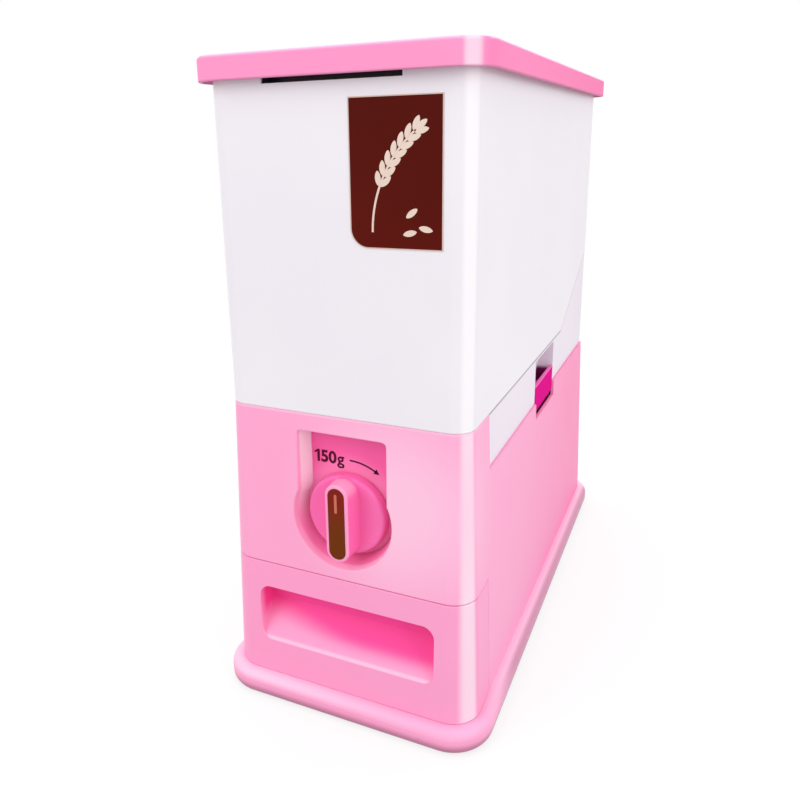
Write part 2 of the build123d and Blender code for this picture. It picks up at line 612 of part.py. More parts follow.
with BuildPart() as support_frame:
    add(band_block)
    add(
        block_between((-FOOT_WIDTH, -FOOT_DEPTH, FOOT_TOP), (FOOT_WIDTH, BAND_FRONT_Y + FIT_GAP, HOPPER_TOP)),
        mode=Mode.SUBTRACT,
    )
    with BuildSketch(Plane.XY.offset(frame_bottom)):
        RectangleRounded(INNER_WIDTH - 2 * FIT_GAP, INNER_DEPTH - 2 * FIT_GAP, INNER_CORNER - FIT_GAP)
    extrude(amount=REAR_EDGE_Z - frame_bottom)
    add(hopper_region, mode=Mode.SUBTRACT)
    add(ring_inner, mode=Mode.SUBTRACT)
    with BuildSketch(Plane.XY.offset(FRAME_DECK_LEVEL)):
        RectangleRounded(INNER_WIDTH - 2 * WALL, INNER_DEPTH - 2 * WALL, INNER_CORNER - WALL)
    extrude(amount=FRAME_DECK_THICKNESS)
    add(
        block_between(
            (-HOUSING_HALF_WIDTH - FRAME_OPENING_GAP, HOUSING_FRONT_Y - FRAME_OPENING_GAP, frame_bottom),
            (HOUSING_HALF_WIDTH + FRAME_OPENING_GAP, COVER_REAR_Y + FRAME_OPENING_GAP, JUNCTION),
        ),
        mode=Mode.SUBTRACT,
    )
    add(
        block_between(
            (-FOOT_WIDTH, -FOOT_DEPTH, frame_bottom),
            (FOOT_WIDTH, WELL_BACK_Y + FRAME_FRONT_GAP, HOPPER_TOP),
        ),
        mode=Mode.SUBTRACT,
    )
    with BuildSketch(Plane.XY.offset(FRAME_DECK_LEVEL)):
        with Locations(*post_spots):
            Circle(SCREW_RADIUS + SCREW_HOLE_GAP)
    extrude(amount=FRAME_DECK_THICKNESS, mode=Mode.SUBTRACT)
    for side in (-1, 1):
        tongue_x = sorted((side * (HALF_WIDTH - WALL - FIT_GAP), side * (HALF_WIDTH - 2 * WALL - FIT_GAP)))
        add(
            block_between(
                (tongue_x[0], BAND_FRONT_Y + TONGUE_SETBACK, JUNCTION - WALL),
                (tongue_x[1], REAR_SLOPE_Y - TONGUE_SETBACK, JUNCTION + TONGUE_HEIGHT),
            )
        )
    for side in (-1, 1):
        shell_x = sorted((side * (LATCH_POCKET_X - WALL), side * (HALF_WIDTH - BAND_SETBACK)))
        add(
            block_between(
                (shell_x[0], LATCH_POCKET_FRONT - WALL, latch_pocket_low - WALL),
                (shell_x[1], LATCH_POCKET_REAR + WALL, JUNCTION),
            )
            & (frame_outline + band_block)
        )
        pocket_x = sorted((side * LATCH_POCKET_X, side * (HALF_WIDTH + OVERRUN)))
        add(
            block_between(
                (pocket_x[0], LATCH_POCKET_FRONT, latch_pocket_low),
                (pocket_x[1], LATCH_POCKET_REAR, JUNCTION - WALL),
            ),
            mode=Mode.SUBTRACT,
        )
        slot_x = sorted((side * (LATCH_POCKET_X - 2 * WALL), side * HALF_WIDTH))
        add(
            block_between(
                (slot_x[0], LATCH_MIDDLE_Y - slot_half, slot_low),
                (slot_x[1], LATCH_MIDDLE_Y + slot_half, slot_high),
            ),
            mode=Mode.SUBTRACT,
        )
        with BuildSketch(front_plane(LATCH_POCKET_FRONT - LATCH_PIN_BITE)):
            with Locations((side * LATCH_PIN_X, LATCH_PIN_Z)):
                Circle(pin_bore)
        extrude(
            amount=-(LATCH_POCKET_REAR - LATCH_POCKET_FRONT + 2 * LATCH_PIN_BITE), mode=Mode.SUBTRACT
        )
save(support_frame.part, "support_frame")
save(screws([Plane.XY.offset(FRAME_DECK_TOP).move(Location((x, y, 0))) for x, y in post_spots]), "frame_screws")

# Side latches: levers on a pin at their lower end, each with a nose that holds a lug of the hopper
nose_half = LATCH_NOSE_WIDTH / 2
for side, name in ((-1, "left"), (1, "right")):
    with BuildPart() as latch:
        with BuildSketch(front_plane(LATCH_FRONT_Y)):
            with BuildLine():
                Polyline(
                    (side * LATCH_PIN_X, LATCH_PIN_Z),
                    (side * HALF_WIDTH, LATCH_PIN_Z),
                    (side * HALF_WIDTH, LATCH_TOP),
                    (side * (HALF_WIDTH - LATCH_PLATE), LATCH_TOP),
                    (side * (HALF_WIDTH - LATCH_PLATE), LATCH_PIN_Z + LATCH_ROUND),
                    (side * LATCH_PIN_X, LATCH_PIN_Z + LATCH_ROUND),
                    close=True,
                )
            make_face()
            with Locations((side * LATCH_PIN_X, LATCH_PIN_Z)):
                Circle(LATCH_ROUND)
        extrude(amount=-LATCH_LENGTH)
        nose_x = sorted((side * LATCH_NOSE_TIP_X, side * (HALF_WIDTH - LATCH_PLATE / 2)))
        add(
            block_between(
                (nose_x[0], LATCH_MIDDLE_Y - nose_half, LATCH_NOSE_BOTTOM),
                (nose_x[1], LATCH_MIDDLE_Y + nose_half, LATCH_NOSE_BOTTOM + LATCH_NOSE_HEIGHT),
            )
        )
        with BuildSketch(front_plane(LATCH_FRONT_Y)):
            with Locations((side * LATCH_PIN_X, LATCH_PIN_Z)):
                Circle(pin_bore)
        extrude(amount=-LATCH_LENGTH, mode=Mode.SUBTRACT)
        fillet(latch.edges().filter_by(Axis.Y).group_by(Axis.Z)[-1], EDGE_ROUND)
    save(latch.part, f"{name}_latch")
    with BuildPart() as latch_pin:
        with BuildSketch(front_plane(LATCH_POCKET_FRONT - LATCH_PIN_BITE)):
            with Locations((side * LATCH_PIN_X, LATCH_PIN_Z)):
                Circle(LATCH_PIN_RADIUS)
        extrude(amount=-(LATCH_POCKET_REAR - LATCH_POCKET_FRONT + 2 * LATCH_PIN_BITE))
    save(latch_pin.part, f"{name}_latch_pin")

# Hopper: straight walls, a funnel floor, lugs for the latches, a finger grip and the hinge ears
funnel_outside = funnel_form(FUNNEL_FLOOR)
funnel_inside = funnel_form(0)
ear_offset = (KNUCKLE_WIDTH + EAR_WIDTH) / 2 + RUN_GAP
hinge_bore = HINGE_PIN_RADIUS + SHAFT_GAP
collar_half = THROAT_SIZE / 2 + WALL
with BuildPart() as hopper:
    with BuildSketch(Plane.XY.offset(JUNCTION)):
        RectangleRounded(BODY_WIDTH, BODY_DEPTH, CORNER_RADIUS)
        RectangleRounded(INNER_WIDTH, INNER_DEPTH, INNER_CORNER, mode=Mode.SUBTRACT)
    extrude(amount=HOPPER_TOP - JUNCTION)
    add(hopper_region, mode=Mode.INTERSECT)
    add(funnel_outside)
    add(
        block_between(
            (-collar_half, THROAT_Y - collar_half, THROAT_BOTTOM),
            (collar_half, THROAT_Y + collar_half, THROAT_Z),
        )
    )
    for side in (-1, 1):
        lug_x = sorted((side * LUG_INNER_X, side * LUG_OUTER_X))
        add(
            block_between(
                (lug_x[0], LATCH_MIDDLE_Y - LUG_WIDTH / 2, LUG_BOTTOM),
                (lug_x[1], LATCH_MIDDLE_Y + LUG_WIDTH / 2, FUNNEL_TOP),
            )
        )
    add(funnel_inside, mode=Mode.SUBTRACT)
    with BuildSketch(Plane.XY.offset(THROAT_Z)):
        with Locations((0, THROAT_Y)):
            Rectangle(THROAT_SIZE, THROAT_SIZE)
    extrude(amount=-COLLAR_HEIGHT - OVERRUN, mode=Mode.SUBTRACT)
    for side in (-1, 1):
        window_x = sorted((side * (LUG_INNER_X - OVERRUN), side * (LUG_OUTER_X + OVERRUN)))
        add(
            block_between(
                (window_x[0], LATCH_MIDDLE_Y - nose_half - RUN_GAP, LATCH_NOSE_BOTTOM - LUG_WINDOW_GAP),
                (
                    window_x[1],
                    LATCH_MIDDLE_Y + nose_half + RUN_GAP,
                    LATCH_NOSE_BOTTOM + LATCH_NOSE_HEIGHT + LUG_WINDOW_RISE,
                ),
            ),
            mode=Mode.SUBTRACT,
        )
    add(
        block_between(
            (-GRIP_HALF_WIDTH - WALL, -HALF_DEPTH + WALL / 2, GRIP_BOTTOM - WALL),
            (GRIP_HALF_WIDTH + WALL, -HALF_DEPTH + GRIP_DEPTH + WALL, HOPPER_TOP),
        )
    )
    add(
        block_between(
            (-GRIP_HALF_WIDTH, -HALF_DEPTH - OVERRUN, GRIP_BOTTOM),
            (GRIP_HALF_WIDTH, -HALF_DEPTH + GRIP_DEPTH, GRIP_BOTTOM + GRIP_HEIGHT),
        ),
        mode=Mode.SUBTRACT,
    )
    skirt_rim = hopper.edges().filter_by(
        lambda e: abs(e.center().Z - skirt_edge_height(e.center().Y)) < SHAFT_GAP
        and on_outline(e.center(), HALF_WIDTH, HALF_DEPTH, CORNER_RADIUS)
    )
    fillet(skirt_rim, EDGE_ROUND)
save(hopper.part, "hopper")

# Hinge brackets on the back of the hopper, each a plate with two ears
bracket_half = ear_offset + EAR_WIDTH / 2
bracket_low = HINGE_Z - HINGE_BARREL - BRACKET_DROP
for side, name in ((-1, "left"), (1, "right")):
    with BuildPart() as hinge_bracket:
        add(
            block_between(
                (side * HINGE_X - bracket_half, HALF_DEPTH, bracket_low),
                (side * HINGE_X + bracket_half, HALF_DEPTH + BRACKET_PLATE, HINGE_Z + HINGE_BARREL),
            )
        )
        for end in (-1, 1):
            with BuildSketch(side_plane(side * HINGE_X + end * ear_offset - EAR_WIDTH / 2)):
                with BuildLine():
                    Polyline(
                        (HALF_DEPTH, bracket_low),
                        (HALF_DEPTH + BRACKET_PLATE, bracket_low),
                        (HINGE_Y, HINGE_Z - HINGE_BARREL),
                        (HINGE_Y, HINGE_Z + HINGE_BARREL),
                        (HALF_DEPTH, HINGE_Z + HINGE_BARREL),
                        close=True,
                    )
                make_face()
                with Locations((HINGE_Y, HINGE_Z)):
                    Circle(HINGE_BARREL)
                    Circle(hinge_bore, mode=Mode.SUBTRACT)
            extrude(amount=EAR_WIDTH)
    save(hinge_bracket.part, f"{name}_hinge_bracket")

# Lid: a cap with a skirt, locating ribs inside the mouth and knuckles between the hopper's ears
lid_inner_width = 2 * (LID_HALF_WIDTH - WALL)
lid_inner_depth = 2 * (LID_HALF_DEPTH - WALL)
rib_outer_x = HALF_WIDTH - WALL - RUN_GAP
rib_outer_y = HALF_DEPTH - GRIP_DEPTH - WALL - RUN_GAP
ear_window = ear_offset + EAR_WIDTH / 2 + RUN_GAP
with BuildPart() as lid:
    with BuildSketch(Plane.XY.offset(LID_SKIRT_BOTTOM)):
        RectangleRounded(2 * LID_HALF_WIDTH, 2 * LID_HALF_DEPTH, LID_CORNER)
    extrude(amount=LID_TOP - LID_SKIRT_BOTTOM)
    fillet(lid.edges().group_by(Axis.Z)[-1], LID_TOP_ROUND)
    fillet(lid.edges().group_by(Axis.Z)[0], EDGE_ROUND)
    with BuildSketch(Plane.XY.offset(LID_SKIRT_BOTTOM)):
        RectangleRounded(lid_inner_width, lid_inner_depth, LID_CORNER - WALL)
    extrude(amount=LID_ROOF - LID_SKIRT_BOTTOM, mode=Mode.SUBTRACT)
    for side in (-1, 1):
        rib_x = sorted((side * (rib_outer_x - RIB_THICKNESS), side * rib_outer_x))
        add(
            block_between(
                (rib_x[0], -rib_outer_y, HOPPER_TOP - RIB_HEIGHT + SEAL_THICKNESS),
                (rib_x[1], RIB_REAR_Y, LID_ROOF),
            )
        )
    add(
        block_between(
            (-rib_outer_x, -rib_outer_y, HOPPER_TOP - RIB_HEIGHT + SEAL_THICKNESS),
            (rib_outer_x, -rib_outer_y + RIB_THICKNESS, LID_ROOF),
        )
    )
    for side in (-1, 1):
        for end in (-1, 1):
            gap_x = sorted(
                (
                    side * HINGE_X + end * (KNUCKLE_WIDTH / 2),
                    side * HINGE_X + end * ear_window,
                )
            )
            add(
                block_between(
                    (gap_x[0], LID_HALF_DEPTH - WALL - RUN_GAP, LID_SKIRT_BOTTOM - OVERRUN),
                    (gap_x[1], LID_HALF_DEPTH + OVERRUN, HINGE_Z + HINGE_BARREL + RUN_GAP),
                ),
                mode=Mode.SUBTRACT,
            )
        with BuildSketch(side_plane(side * HINGE_X - KNUCKLE_WIDTH / 2)):
            with BuildLine():
                Polyline(
                    (LID_HALF_DEPTH - WALL, HINGE_Z - WALL),
                    (HINGE_Y, HINGE_Z - HINGE_BARREL),
                    (HINGE_Y, HINGE_Z + HINGE_BARREL),
                    (LID_HALF_DEPTH - WALL, HINGE_Z + HINGE_BARREL),
                    close=True,
                )
            make_face()
            with Locations((HINGE_Y, HINGE_Z)):
                Circle(HINGE_BARREL)
                Circle(hinge_bore, mode=Mode.SUBTRACT)
        extrude(amount=KNUCKLE_WIDTH)
save(lid.part, "lid")

with BuildPart() as lid_seal:
    with BuildSketch(Plane.XY.offset(HOPPER_TOP)):
        RectangleRounded(BODY_WIDTH, BODY_DEPTH, CORNER_RADIUS)
        RectangleRounded(INNER_WIDTH, INNER_DEPTH, INNER_CORNER, mode=Mode.SUBTRACT)
    extrude(amount=SEAL_THICKNESS)
save(lid_seal.part, "lid_seal")

with BuildPart() as hinge_pins:
    for side in (-1, 1):
        with BuildSketch(side_plane(side * HINGE_X - ear_offset - EAR_WIDTH / 2)):
            with Locations((HINGE_Y, HINGE_Z)):
                Circle(HINGE_PIN_RADIUS)
        extrude(amount=2 * ear_offset + EAR_WIDTH)
save(hinge_pins.part, "hinge_pins")

# Drum housing: a bored block on the deck, open above to the throat and below to the drawer
bush_bore = SHAFT_RADIUS + SHAFT_GAP
cover_screw_x = HOUSING_HALF_WIDTH - COVER_SCREW_INSET
cover_screw_zs = (DECK_TOP + COVER_SCREW_INSET + FOOT_THICKNESS, HOUSING_TOP - COVER_SCREW_INSET)
cover_spots = [(sx * cover_screw_x, z) for sx in (-1, 1) for z in cover_screw_zs]
flange_half_depth = HOUSING_SCREW_SPAN / 2 + SCREW_HEAD_RADIUS + FIT_GAP
with BuildPart() as drum_housing:
    add(
        block_between(
            (-HOUSING_HALF_WIDTH, HOUSING_FRONT_Y, DECK_TOP),
            (HOUSING_HALF_WIDTH, HOUSING_REAR_Y, HOUSING_TOP),
        )
    )
    add(
        block_between(
            (-HOUSING_HALF_WIDTH - FOOT_FLANGE, THROAT_Y - flange_half_depth, DECK_TOP),
            (HOUSING_HALF_WIDTH + FOOT_FLANGE, THROAT_Y + flange_half_depth, DECK_TOP + FOOT_THICKNESS),
        )
    )
    with BuildSketch(front_plane(HOUSING_REAR_Y)):
        with Locations((0, DIAL_Z)):
            Circle(BORE_RADIUS)
    extrude(amount=HOUSING_REAR_Y - HOUSING_FRONT_Y - HOUSING_WALL, mode=Mode.SUBTRACT)
    add(
        block_between(
            (-INLET_HALF_WIDTH, THROAT_Y - THROAT_SIZE / 2, DECK_TOP - OVERRUN),
            (INLET_HALF_WIDTH, THROAT_Y + THROAT_SIZE / 2, HOUSING_TOP + OVERRUN),
        ),
        mode=Mode.SUBTRACT,
    )
    with BuildSketch(front_plane(HOUSING_FRONT_Y)):
        with Locations((0, DIAL_Z)):
            Circle(BUSH_RADIUS)
    extrude(amount=-HOUSING_WALL, mode=Mode.SUBTRACT)
    with BuildSketch(rear_plane(HOUSING_REAR_Y)):
        with Locations(*[(-x, z) for x, z in cover_spots]):
            Circle(SCREW_RADIUS + SCREW_HOLE_GAP)
    extrude(amount=-SCREW_LENGTH, mode=Mode.SUBTRACT)
    with BuildSketch(Plane.XY.offset(DECK_TOP)):
        with Locations(*housing_screw_spots):
            Circle(SCREW_RADIUS + SCREW_HOLE_GAP)
    extrude(amount=FOOT_THICKNESS, mode=Mode.SUBTRACT)
save(drum_housing.part, "drum_housing")

housing_screw_length = FOOT_THICKNESS + WALL
save(
    screws(
        [Plane.XY.offset(DECK_TOP + FOOT_THICKNESS).move(Location((x, y, 0))) for x, y in housing_screw_spots],
        housing_screw_length,
    ),
    "housing_screws",
)

with BuildPart() as housing_cover:
    add(
        block_between(
            (-HOUSING_HALF_WIDTH, HOUSING_REAR_Y, DECK_TOP + FOOT_THICKNESS),
            (HOUSING_HALF_WIDTH, COVER_REAR_Y, HOUSING_TOP),
        )
    )
    with BuildSketch(rear_plane(HOUSING_REAR_Y)):
        with Locations((0, DIAL_Z)):
            Circle(BUSH_RADIUS)
        with Locations(*[(-x, z) for x, z in cover_spots]):
            Circle(SCREW_RADIUS + SCREW_HOLE_GAP)
    extrude(amount=COVER_THICKNESS, mode=Mode.SUBTRACT)
save(housing_cover.part, "housing_cover")
cover_screw_planes = [
    Plane(origin=(x, COVER_REAR_Y, z), x_dir=(-1, 0, 0), z_dir=(0, 1, 0)) for x, z in cover_spots
]
save(screws(cover_screw_planes), "cover_screws")

with BuildPart() as throat_gasket:
    with BuildSketch(Plane.XY.offset(HOUSING_TOP)):
        with Locations((0, THROAT_Y)):
            Rectangle(THROAT_SIZE + 2 * WALL, THROAT_SIZE + 2 * WALL)
            Rectangle(THROAT_SIZE, THROAT_SIZE, mode=Mode.SUBTRACT)
    extrude(amount=HOUSING_TOP_GAP)
save(throat_gasket.part, "throat_gasket")

wiper_inner_x = INLET_HALF_WIDTH - WIPER_THICKNESS
wiper_reach = DRUM_RADIUS + WIPER_LIFT
wiper_bottom = DIAL_Z + (wiper_reach**2 - wiper_inner_x**2) ** 0.5
with BuildPart() as wiper_strip:
    add(
        block_between(
            (wiper_inner_x, THROAT_Y - THROAT_SIZE / 2, wiper_bottom),
            (INLET_HALF_WIDTH, THROAT_Y + THROAT_SIZE / 2, HOUSING_TOP),
        )
    )
save(wiper_strip.part, "wiper_strip")


def bush(seat, sleeve):
    """A flanged sleeve whose flange rests on a plane and whose sleeve runs back from it."""
    with BuildPart() as made:
        with BuildSketch(seat):
            Circle(BUSH_FLANGE_RADIUS)
        extrude(amount=BUSH_FLANGE)
        with BuildSketch(seat):
            Circle(BUSH_RADIUS)
        extrude(amount=-sleeve)
        with BuildSketch(seat.offset(BUSH_FLANGE)):
            Circle(bush_bore)
        extrude(amount=-sleeve - BUSH_FLANGE, mode=Mode.SUBTRACT)
    return made.part


def dial_axis_plane(y, facing):
    """A plane square to the dial axis, centred on it, facing the front (-1) or the back (1)."""
    return Plane(origin=(0, y, DIAL_Z), x_dir=(-facing, 0, 0), z_dir=(0, facing, 0))


save(bush(dial_axis_plane(WELL_BACK_Y, 1), WALL), "dial_bush")
save(bush(dial_axis_plane(HOUSING_FRONT_Y, -1), HOUSING_WALL), "front_bush")
save(bush(dial_axis_plane(COVER_REAR_Y, 1), COVER_THICKNESS), "rear_bush")

# Shaft, drum and clip turn with the knob
drum_pin_y = THROAT_Y
with BuildPart() as shaft:
    with BuildSketch(dial_axis_plane(SHAFT_FRONT_Y, 1)):
        Circle(SHAFT_RADIUS)
    extrude(amount=SHAFT_REAR_Y - SHAFT_FRONT_Y)
    with BuildSketch(dial_axis_plane(CLIP_Y, 1)):
        Circle(SHAFT_RADIUS)
        Circle(SHAFT_RADIUS - CLIP_GROOVE, mode=Mode.SUBTRACT)
    extrude(amount=CLIP_THICKNESS, mode=Mode.SUBTRACT)
    with BuildSketch(Plane(origin=(-DRUM_HUB_RADIUS, drum_pin_y, DIAL_Z), z_dir=(1, 0, 0))):
        Circle(DRUM_PIN_RADIUS)
    extrude(amount=2 * DRUM_HUB_RADIUS, mode=Mode.SUBTRACT)
    with BuildSketch(dial_axis_plane(SHAFT_FRONT_Y, 1)):
        Circle(SCREW_RADIUS + SCREW_HOLE_GAP)
    extrude(amount=SCREW_LENGTH, mode=Mode.SUBTRACT)
save(shaft.part, "shaft")

with BuildPart() as retaining_clip:
    with BuildSketch(dial_axis_plane(CLIP_Y, 1)):
        Circle(CLIP_RADIUS)
        Circle(SHAFT_RADIUS - CLIP_GROOVE, mode=Mode.SUBTRACT)
        with Locations((0, -CLIP_RADIUS)):
            Rectangle(2 * (SHAFT_RADIUS - CLIP_GROOVE), 2 * CLIP_RADIUS, mode=Mode.SUBTRACT)
    extrude(amount=CLIP_THICKNESS)
save(retaining_clip.part, "retaining_clip")

with BuildPart() as metering_drum:
    with BuildSketch(dial_axis_plane(DRUM_FRONT_Y, 1)):
        Circle(DRUM_HUB_RADIUS)
        for turn in range(DRUM_VANES):
            with Locations(Rotation(0, 0, DRUM_VANE_TURN + turn * 360 / DRUM_VANES)):
                with Locations(((DRUM_RADIUS + SHAFT_RADIUS) / 2, 0)):
                    Rectangle(DRUM_RADIUS - SHAFT_RADIUS, DRUM_VANE)
    extrude(amount=DRUM_LENGTH)
    for disc_y in (DRUM_FRONT_Y, DRUM_REAR_Y - DRUM_DISC):
        with BuildSketch(dial_axis_plane(disc_y, 1)):
            Circle(DRUM_RADIUS)
        extrude(amount=DRUM_DISC)
    with BuildSketch(dial_axis_plane(DRUM_FRONT_Y, 1)):
        Circle(SHAFT_RADIUS)
    extrude(amount=DRUM_LENGTH, mode=Mode.SUBTRACT)
    with BuildSketch(Plane(origin=(-DRUM_HUB_RADIUS, drum_pin_y, DIAL_Z), z_dir=(1, 0, 0))):
        Circle(DRUM_PIN_RADIUS)
    extrude(amount=2 * DRUM_HUB_RADIUS, mode=Mode.SUBTRACT)
save(metering_drum.part, "metering_drum")

with BuildPart() as drum_pin:
    with BuildSketch(Plane(origin=(-DRUM_HUB_RADIUS, drum_pin_y, DIAL_Z), z_dir=(1, 0, 0))):
        Circle(DRUM_PIN_RADIUS)
    extrude(amount=2 * DRUM_HUB_RADIUS)
save(drum_pin.part, "drum_pin")

# Dial knob with its brown insert, and the plate behind it
insert_length = KNOB_BAR_LENGTH - 2 * INSERT_RIM
insert_width = KNOB_BAR_WIDTH - 2 * INSERT_RIM
knob_screw_seat_y = BAR_FACE_Y + INSERT_DEPTH + KNOB_SCREW_RECESS
with BuildPart() as dial_plate:
    with BuildSketch(dial_axis_plane(WELL_FLOOR_Y, -1)):
        well_inset = WELL_DEPTH * tan(radians(WELL_DRAFT)) + FIT_GAP
        Circle(WELL_RADIUS - well_inset)
        with Locations((0, (WELL_TOP - DIAL_Z - well_inset) / 2)):
            Rectangle(2 * (WELL_HALF_WIDTH - well_inset), WELL_TOP - DIAL_Z - well_inset)
        Circle(BUSH_RADIUS, mode=Mode.SUBTRACT)
    extrude(amount=DIAL_PLATE)
save(dial_plate.part, "dial_plate")

with BuildPart() as knob:
    with BuildSketch(dial_axis_plane(KNOB_BACK_Y, -1)):
        Circle(KNOB_RADIUS)
    extrude(amount=KNOB_DISC)
    fillet(knob.edges().sort_by(Axis.Y)[0], KNOB_DISC_ROUND)
    with BuildSketch(dial_axis_plane(KNOB_FACE_Y + EDGE_ROUND, -1)):
        SlotOverall(KNOB_BAR_LENGTH, KNOB_BAR_WIDTH, rotation=90)
    extrude(amount=KNOB_BAR_HEIGHT + EDGE_ROUND)
    fillet(knob.faces().sort_by(Axis.Y)[0].edges(), KNOB_BAR_ROUND)
    with BuildSketch(dial_axis_plane(BAR_FACE_Y, 1)):
        SlotOverall(insert_length, insert_width, rotation=90)
    extrude(amount=INSERT_DEPTH, mode=Mode.SUBTRACT)
    with BuildSketch(dial_axis_plane(BAR_FACE_Y, 1)):
        Circle(SCREW_HEAD_RADIUS + FIT_GAP)
    extrude(amount=INSERT_DEPTH + KNOB_SCREW_RECESS, mode=Mode.SUBTRACT)
    with BuildSketch(dial_axis_plane(BAR_FACE_Y, 1)):
        Circle(SCREW_RADIUS + SCREW_HOLE_GAP)
    extrude(amount=KNOB_BAR_HEIGHT + KNOB_DISC, mode=Mode.SUBTRACT)
    with BuildSketch(dial_axis_plane(KNOB_BACK_Y, -1)):
        Circle(SHAFT_RADIUS)
    extrude(amount=SHAFT_KNOB_BITE, mode=Mode.SUBTRACT)
save(knob.part, "knob")
save(screws([dial_axis_plane(knob_screw_seat_y, -1)]), "knob_screw")

with BuildPart() as knob_insert:
    with BuildSketch(dial_axis_plane(BAR_FACE_Y + INSERT_DEPTH, -1)):
        SlotOverall(insert_length - 2 * INSERT_GAP, insert_width - 2 * INSERT_GAP, rotation=90)
    extrude(amount=INSERT_DEPTH + INSERT_PROUD)
    fillet(knob_insert.faces().sort_by(Axis.Y)[0].edges(), INSERT_PROUD)
save(knob_insert.part, "knob_insert")

# Drawer front: a drafted panel that wraps both corners, with a slanting finger scoop
scoop_height = SCOOP_TOP - SCOOP_BOTTOM
scoop_face_y = -half_depth_at(SCOOP_BOTTOM)


def scoop_form(grow):
    """The finger scoop, a rounded opening with a floor that slants in to its top, grown by a wall thickness."""
    mouth_y = scoop_face_y - OVERRUN
    back_y = scoop_face_y + SCOOP_DEPTH + grow
    with BuildPart() as form:
        with BuildSketch(rear_plane(mouth_y)):
            with Locations((0, (SCOOP_TOP + SCOOP_BOTTOM) / 2)):
                RectangleRounded(2 * (SCOOP_HALF_WIDTH + grow), scoop_height + 2 * grow, SCOOP_CORNER + grow)
        extrude(amount=back_y - mouth_y)
        with BuildSketch(side_plane(-SCOOP_HALF_WIDTH - grow)):
            with BuildLine():
                Polyline(
                    (mouth_y, SCOOP_BOTTOM - grow),
                    (scoop_face_y + grow, SCOOP_BOTTOM - grow),
                    (back_y, SCOOP_TOP - SCOOP_BACK_HEIGHT),
                    (back_y, SCOOP_TOP + grow),
                    (mouth_y, SCOOP_TOP + grow),
                    close=True,
                )
            make_face()
        extrude(amount=2 * (SCOOP_HALF_WIDTH + grow), mode=Mode.INTERSECT)
    return form.part


drawer_boss_spots = [(sx * DRAWER_BOSS_X, z) for sx in (-1, 1) for z in DRAWER_BOSS_ZS]
scoop_shell = scoop_form(TRAY_WALL)
scoop_hollow = scoop_form(0)
with BuildPart() as drawer_front:
    add(outer_form)
    add(inner_form, mode=Mode.SUBTRACT)
    add(scoop_shell & outer_form)
    for boss_x, boss_z in drawer_boss_spots:
        with BuildSketch(front_plane(TRAY_FRONT_Y)):
            with Locations((boss_x, boss_z)):
                Circle(DRAWER_BOSS_RADIUS)
        extrude(amount=half_depth_at(boss_z) - WALL / 2 + TRAY_FRONT_Y)
    add(scoop_hollow, mode=Mode.SUBTRACT)
    add(
        block_between(
            (-FOOT_WIDTH, -FOOT_DEPTH, FOOT_TOP + RUN_GAP),
            (FOOT_WIDTH, DRAWER_WRAP_Y - RUN_GAP, DRAWER_FRONT_TOP),
        ),
        mode=Mode.INTERSECT,
    )
    with BuildSketch(front_plane(TRAY_FRONT_Y)):
        with Locations(*drawer_boss_spots):
            Circle(SCREW_RADIUS + SCREW_HOLE_GAP)
    extrude(amount=SCREW_LENGTH - TRAY_WALL, mode=Mode.SUBTRACT)
    panel_rim = drawer_front.edges().filter_by(
        lambda e: on_body_outside(e)
        and (
            abs(e.center().Z - DRAWER_FRONT_TOP) < SHAFT_GAP
            or abs(e.center().Y - DRAWER_WRAP_Y + RUN_GAP) < SHAFT_GAP
        )
    )
    fillet(panel_rim, EDGE_ROUND)
save(drawer_front.part, "drawer_front")

# Drawer tray: an open box with ears at the front that the panel's bosses are screwed to
tray_depth = TRAY_REAR_Y - TRAY_FRONT_Y
tray_middle_y = (TRAY_REAR_Y + TRAY_FRONT_Y) / 2
with BuildPart() as drawer_tray:
    with BuildSketch(Plane.XY.offset(TRAY_BOTTOM)):
        with Locations((0, tray_middle_y)):
            RectangleRounded(2 * TRAY_HALF_WIDTH, tray_depth, TRAY_CORNER)
    extrude(amount=TRAY_TOP - TRAY_BOTTOM)
    with BuildSketch(Plane.XY.offset(TRAY_BOTTOM + TRAY_WALL)):
        with Locations((0, tray_middle_y)):
            RectangleRounded(
                2 * (TRAY_HALF_WIDTH - TRAY_WALL), tray_depth - 2 * TRAY_WALL, TRAY_CORNER - TRAY_WALL
            )
    extrude(amount=TRAY_TOP, mode=Mode.SUBTRACT)
    with BuildSketch(front_plane(TRAY_FRONT_Y)):
        with Locations(*drawer_boss_spots):
            Circle(SCREW_RADIUS + SCREW_HOLE_GAP)
    extrude(amount=-TRAY_WALL, mode=Mode.SUBTRACT)
save(drawer_tray.part, "drawer_tray")
drawer_screw_seat_y = TRAY_FRONT_Y + TRAY_WALL
drawer_screw_planes = [
    Plane(origin=(x, drawer_screw_seat_y, z), x_dir=(-1, 0, 0), z_dir=(0, 1, 0)) for x, z in drawer_boss_spots
]
save(screws(drawer_screw_planes), "drawer_screws")

# Drawer rails on the base plate
for side, name in ((-1, "left"), (1, "right")):
    with BuildPart() as rail:
        strip_x = sorted((side * (RAIL_OUTER_X - RAIL_WIDTH), side * RAIL_OUTER_X))
        add(
            block_between(
                (strip_x[0], RAIL_FRONT_Y, BASE_FLOOR),
                (strip_x[1], RAIL_REAR_Y, RAIL_TOP),
            )
        )
        guide_x = sorted((side * (RAIL_OUTER_X - RAIL_GUIDE), side * RAIL_OUTER_X))
        add(
            block_between(
                (guide_x[0], RAIL_FRONT_Y, BASE_FLOOR),
                (guide_x[1], RAIL_REAR_Y, RAIL_TOP + RAIL_GUIDE_HEIGHT),
            )
        )
    save(rail.part, f"{name}_rail")

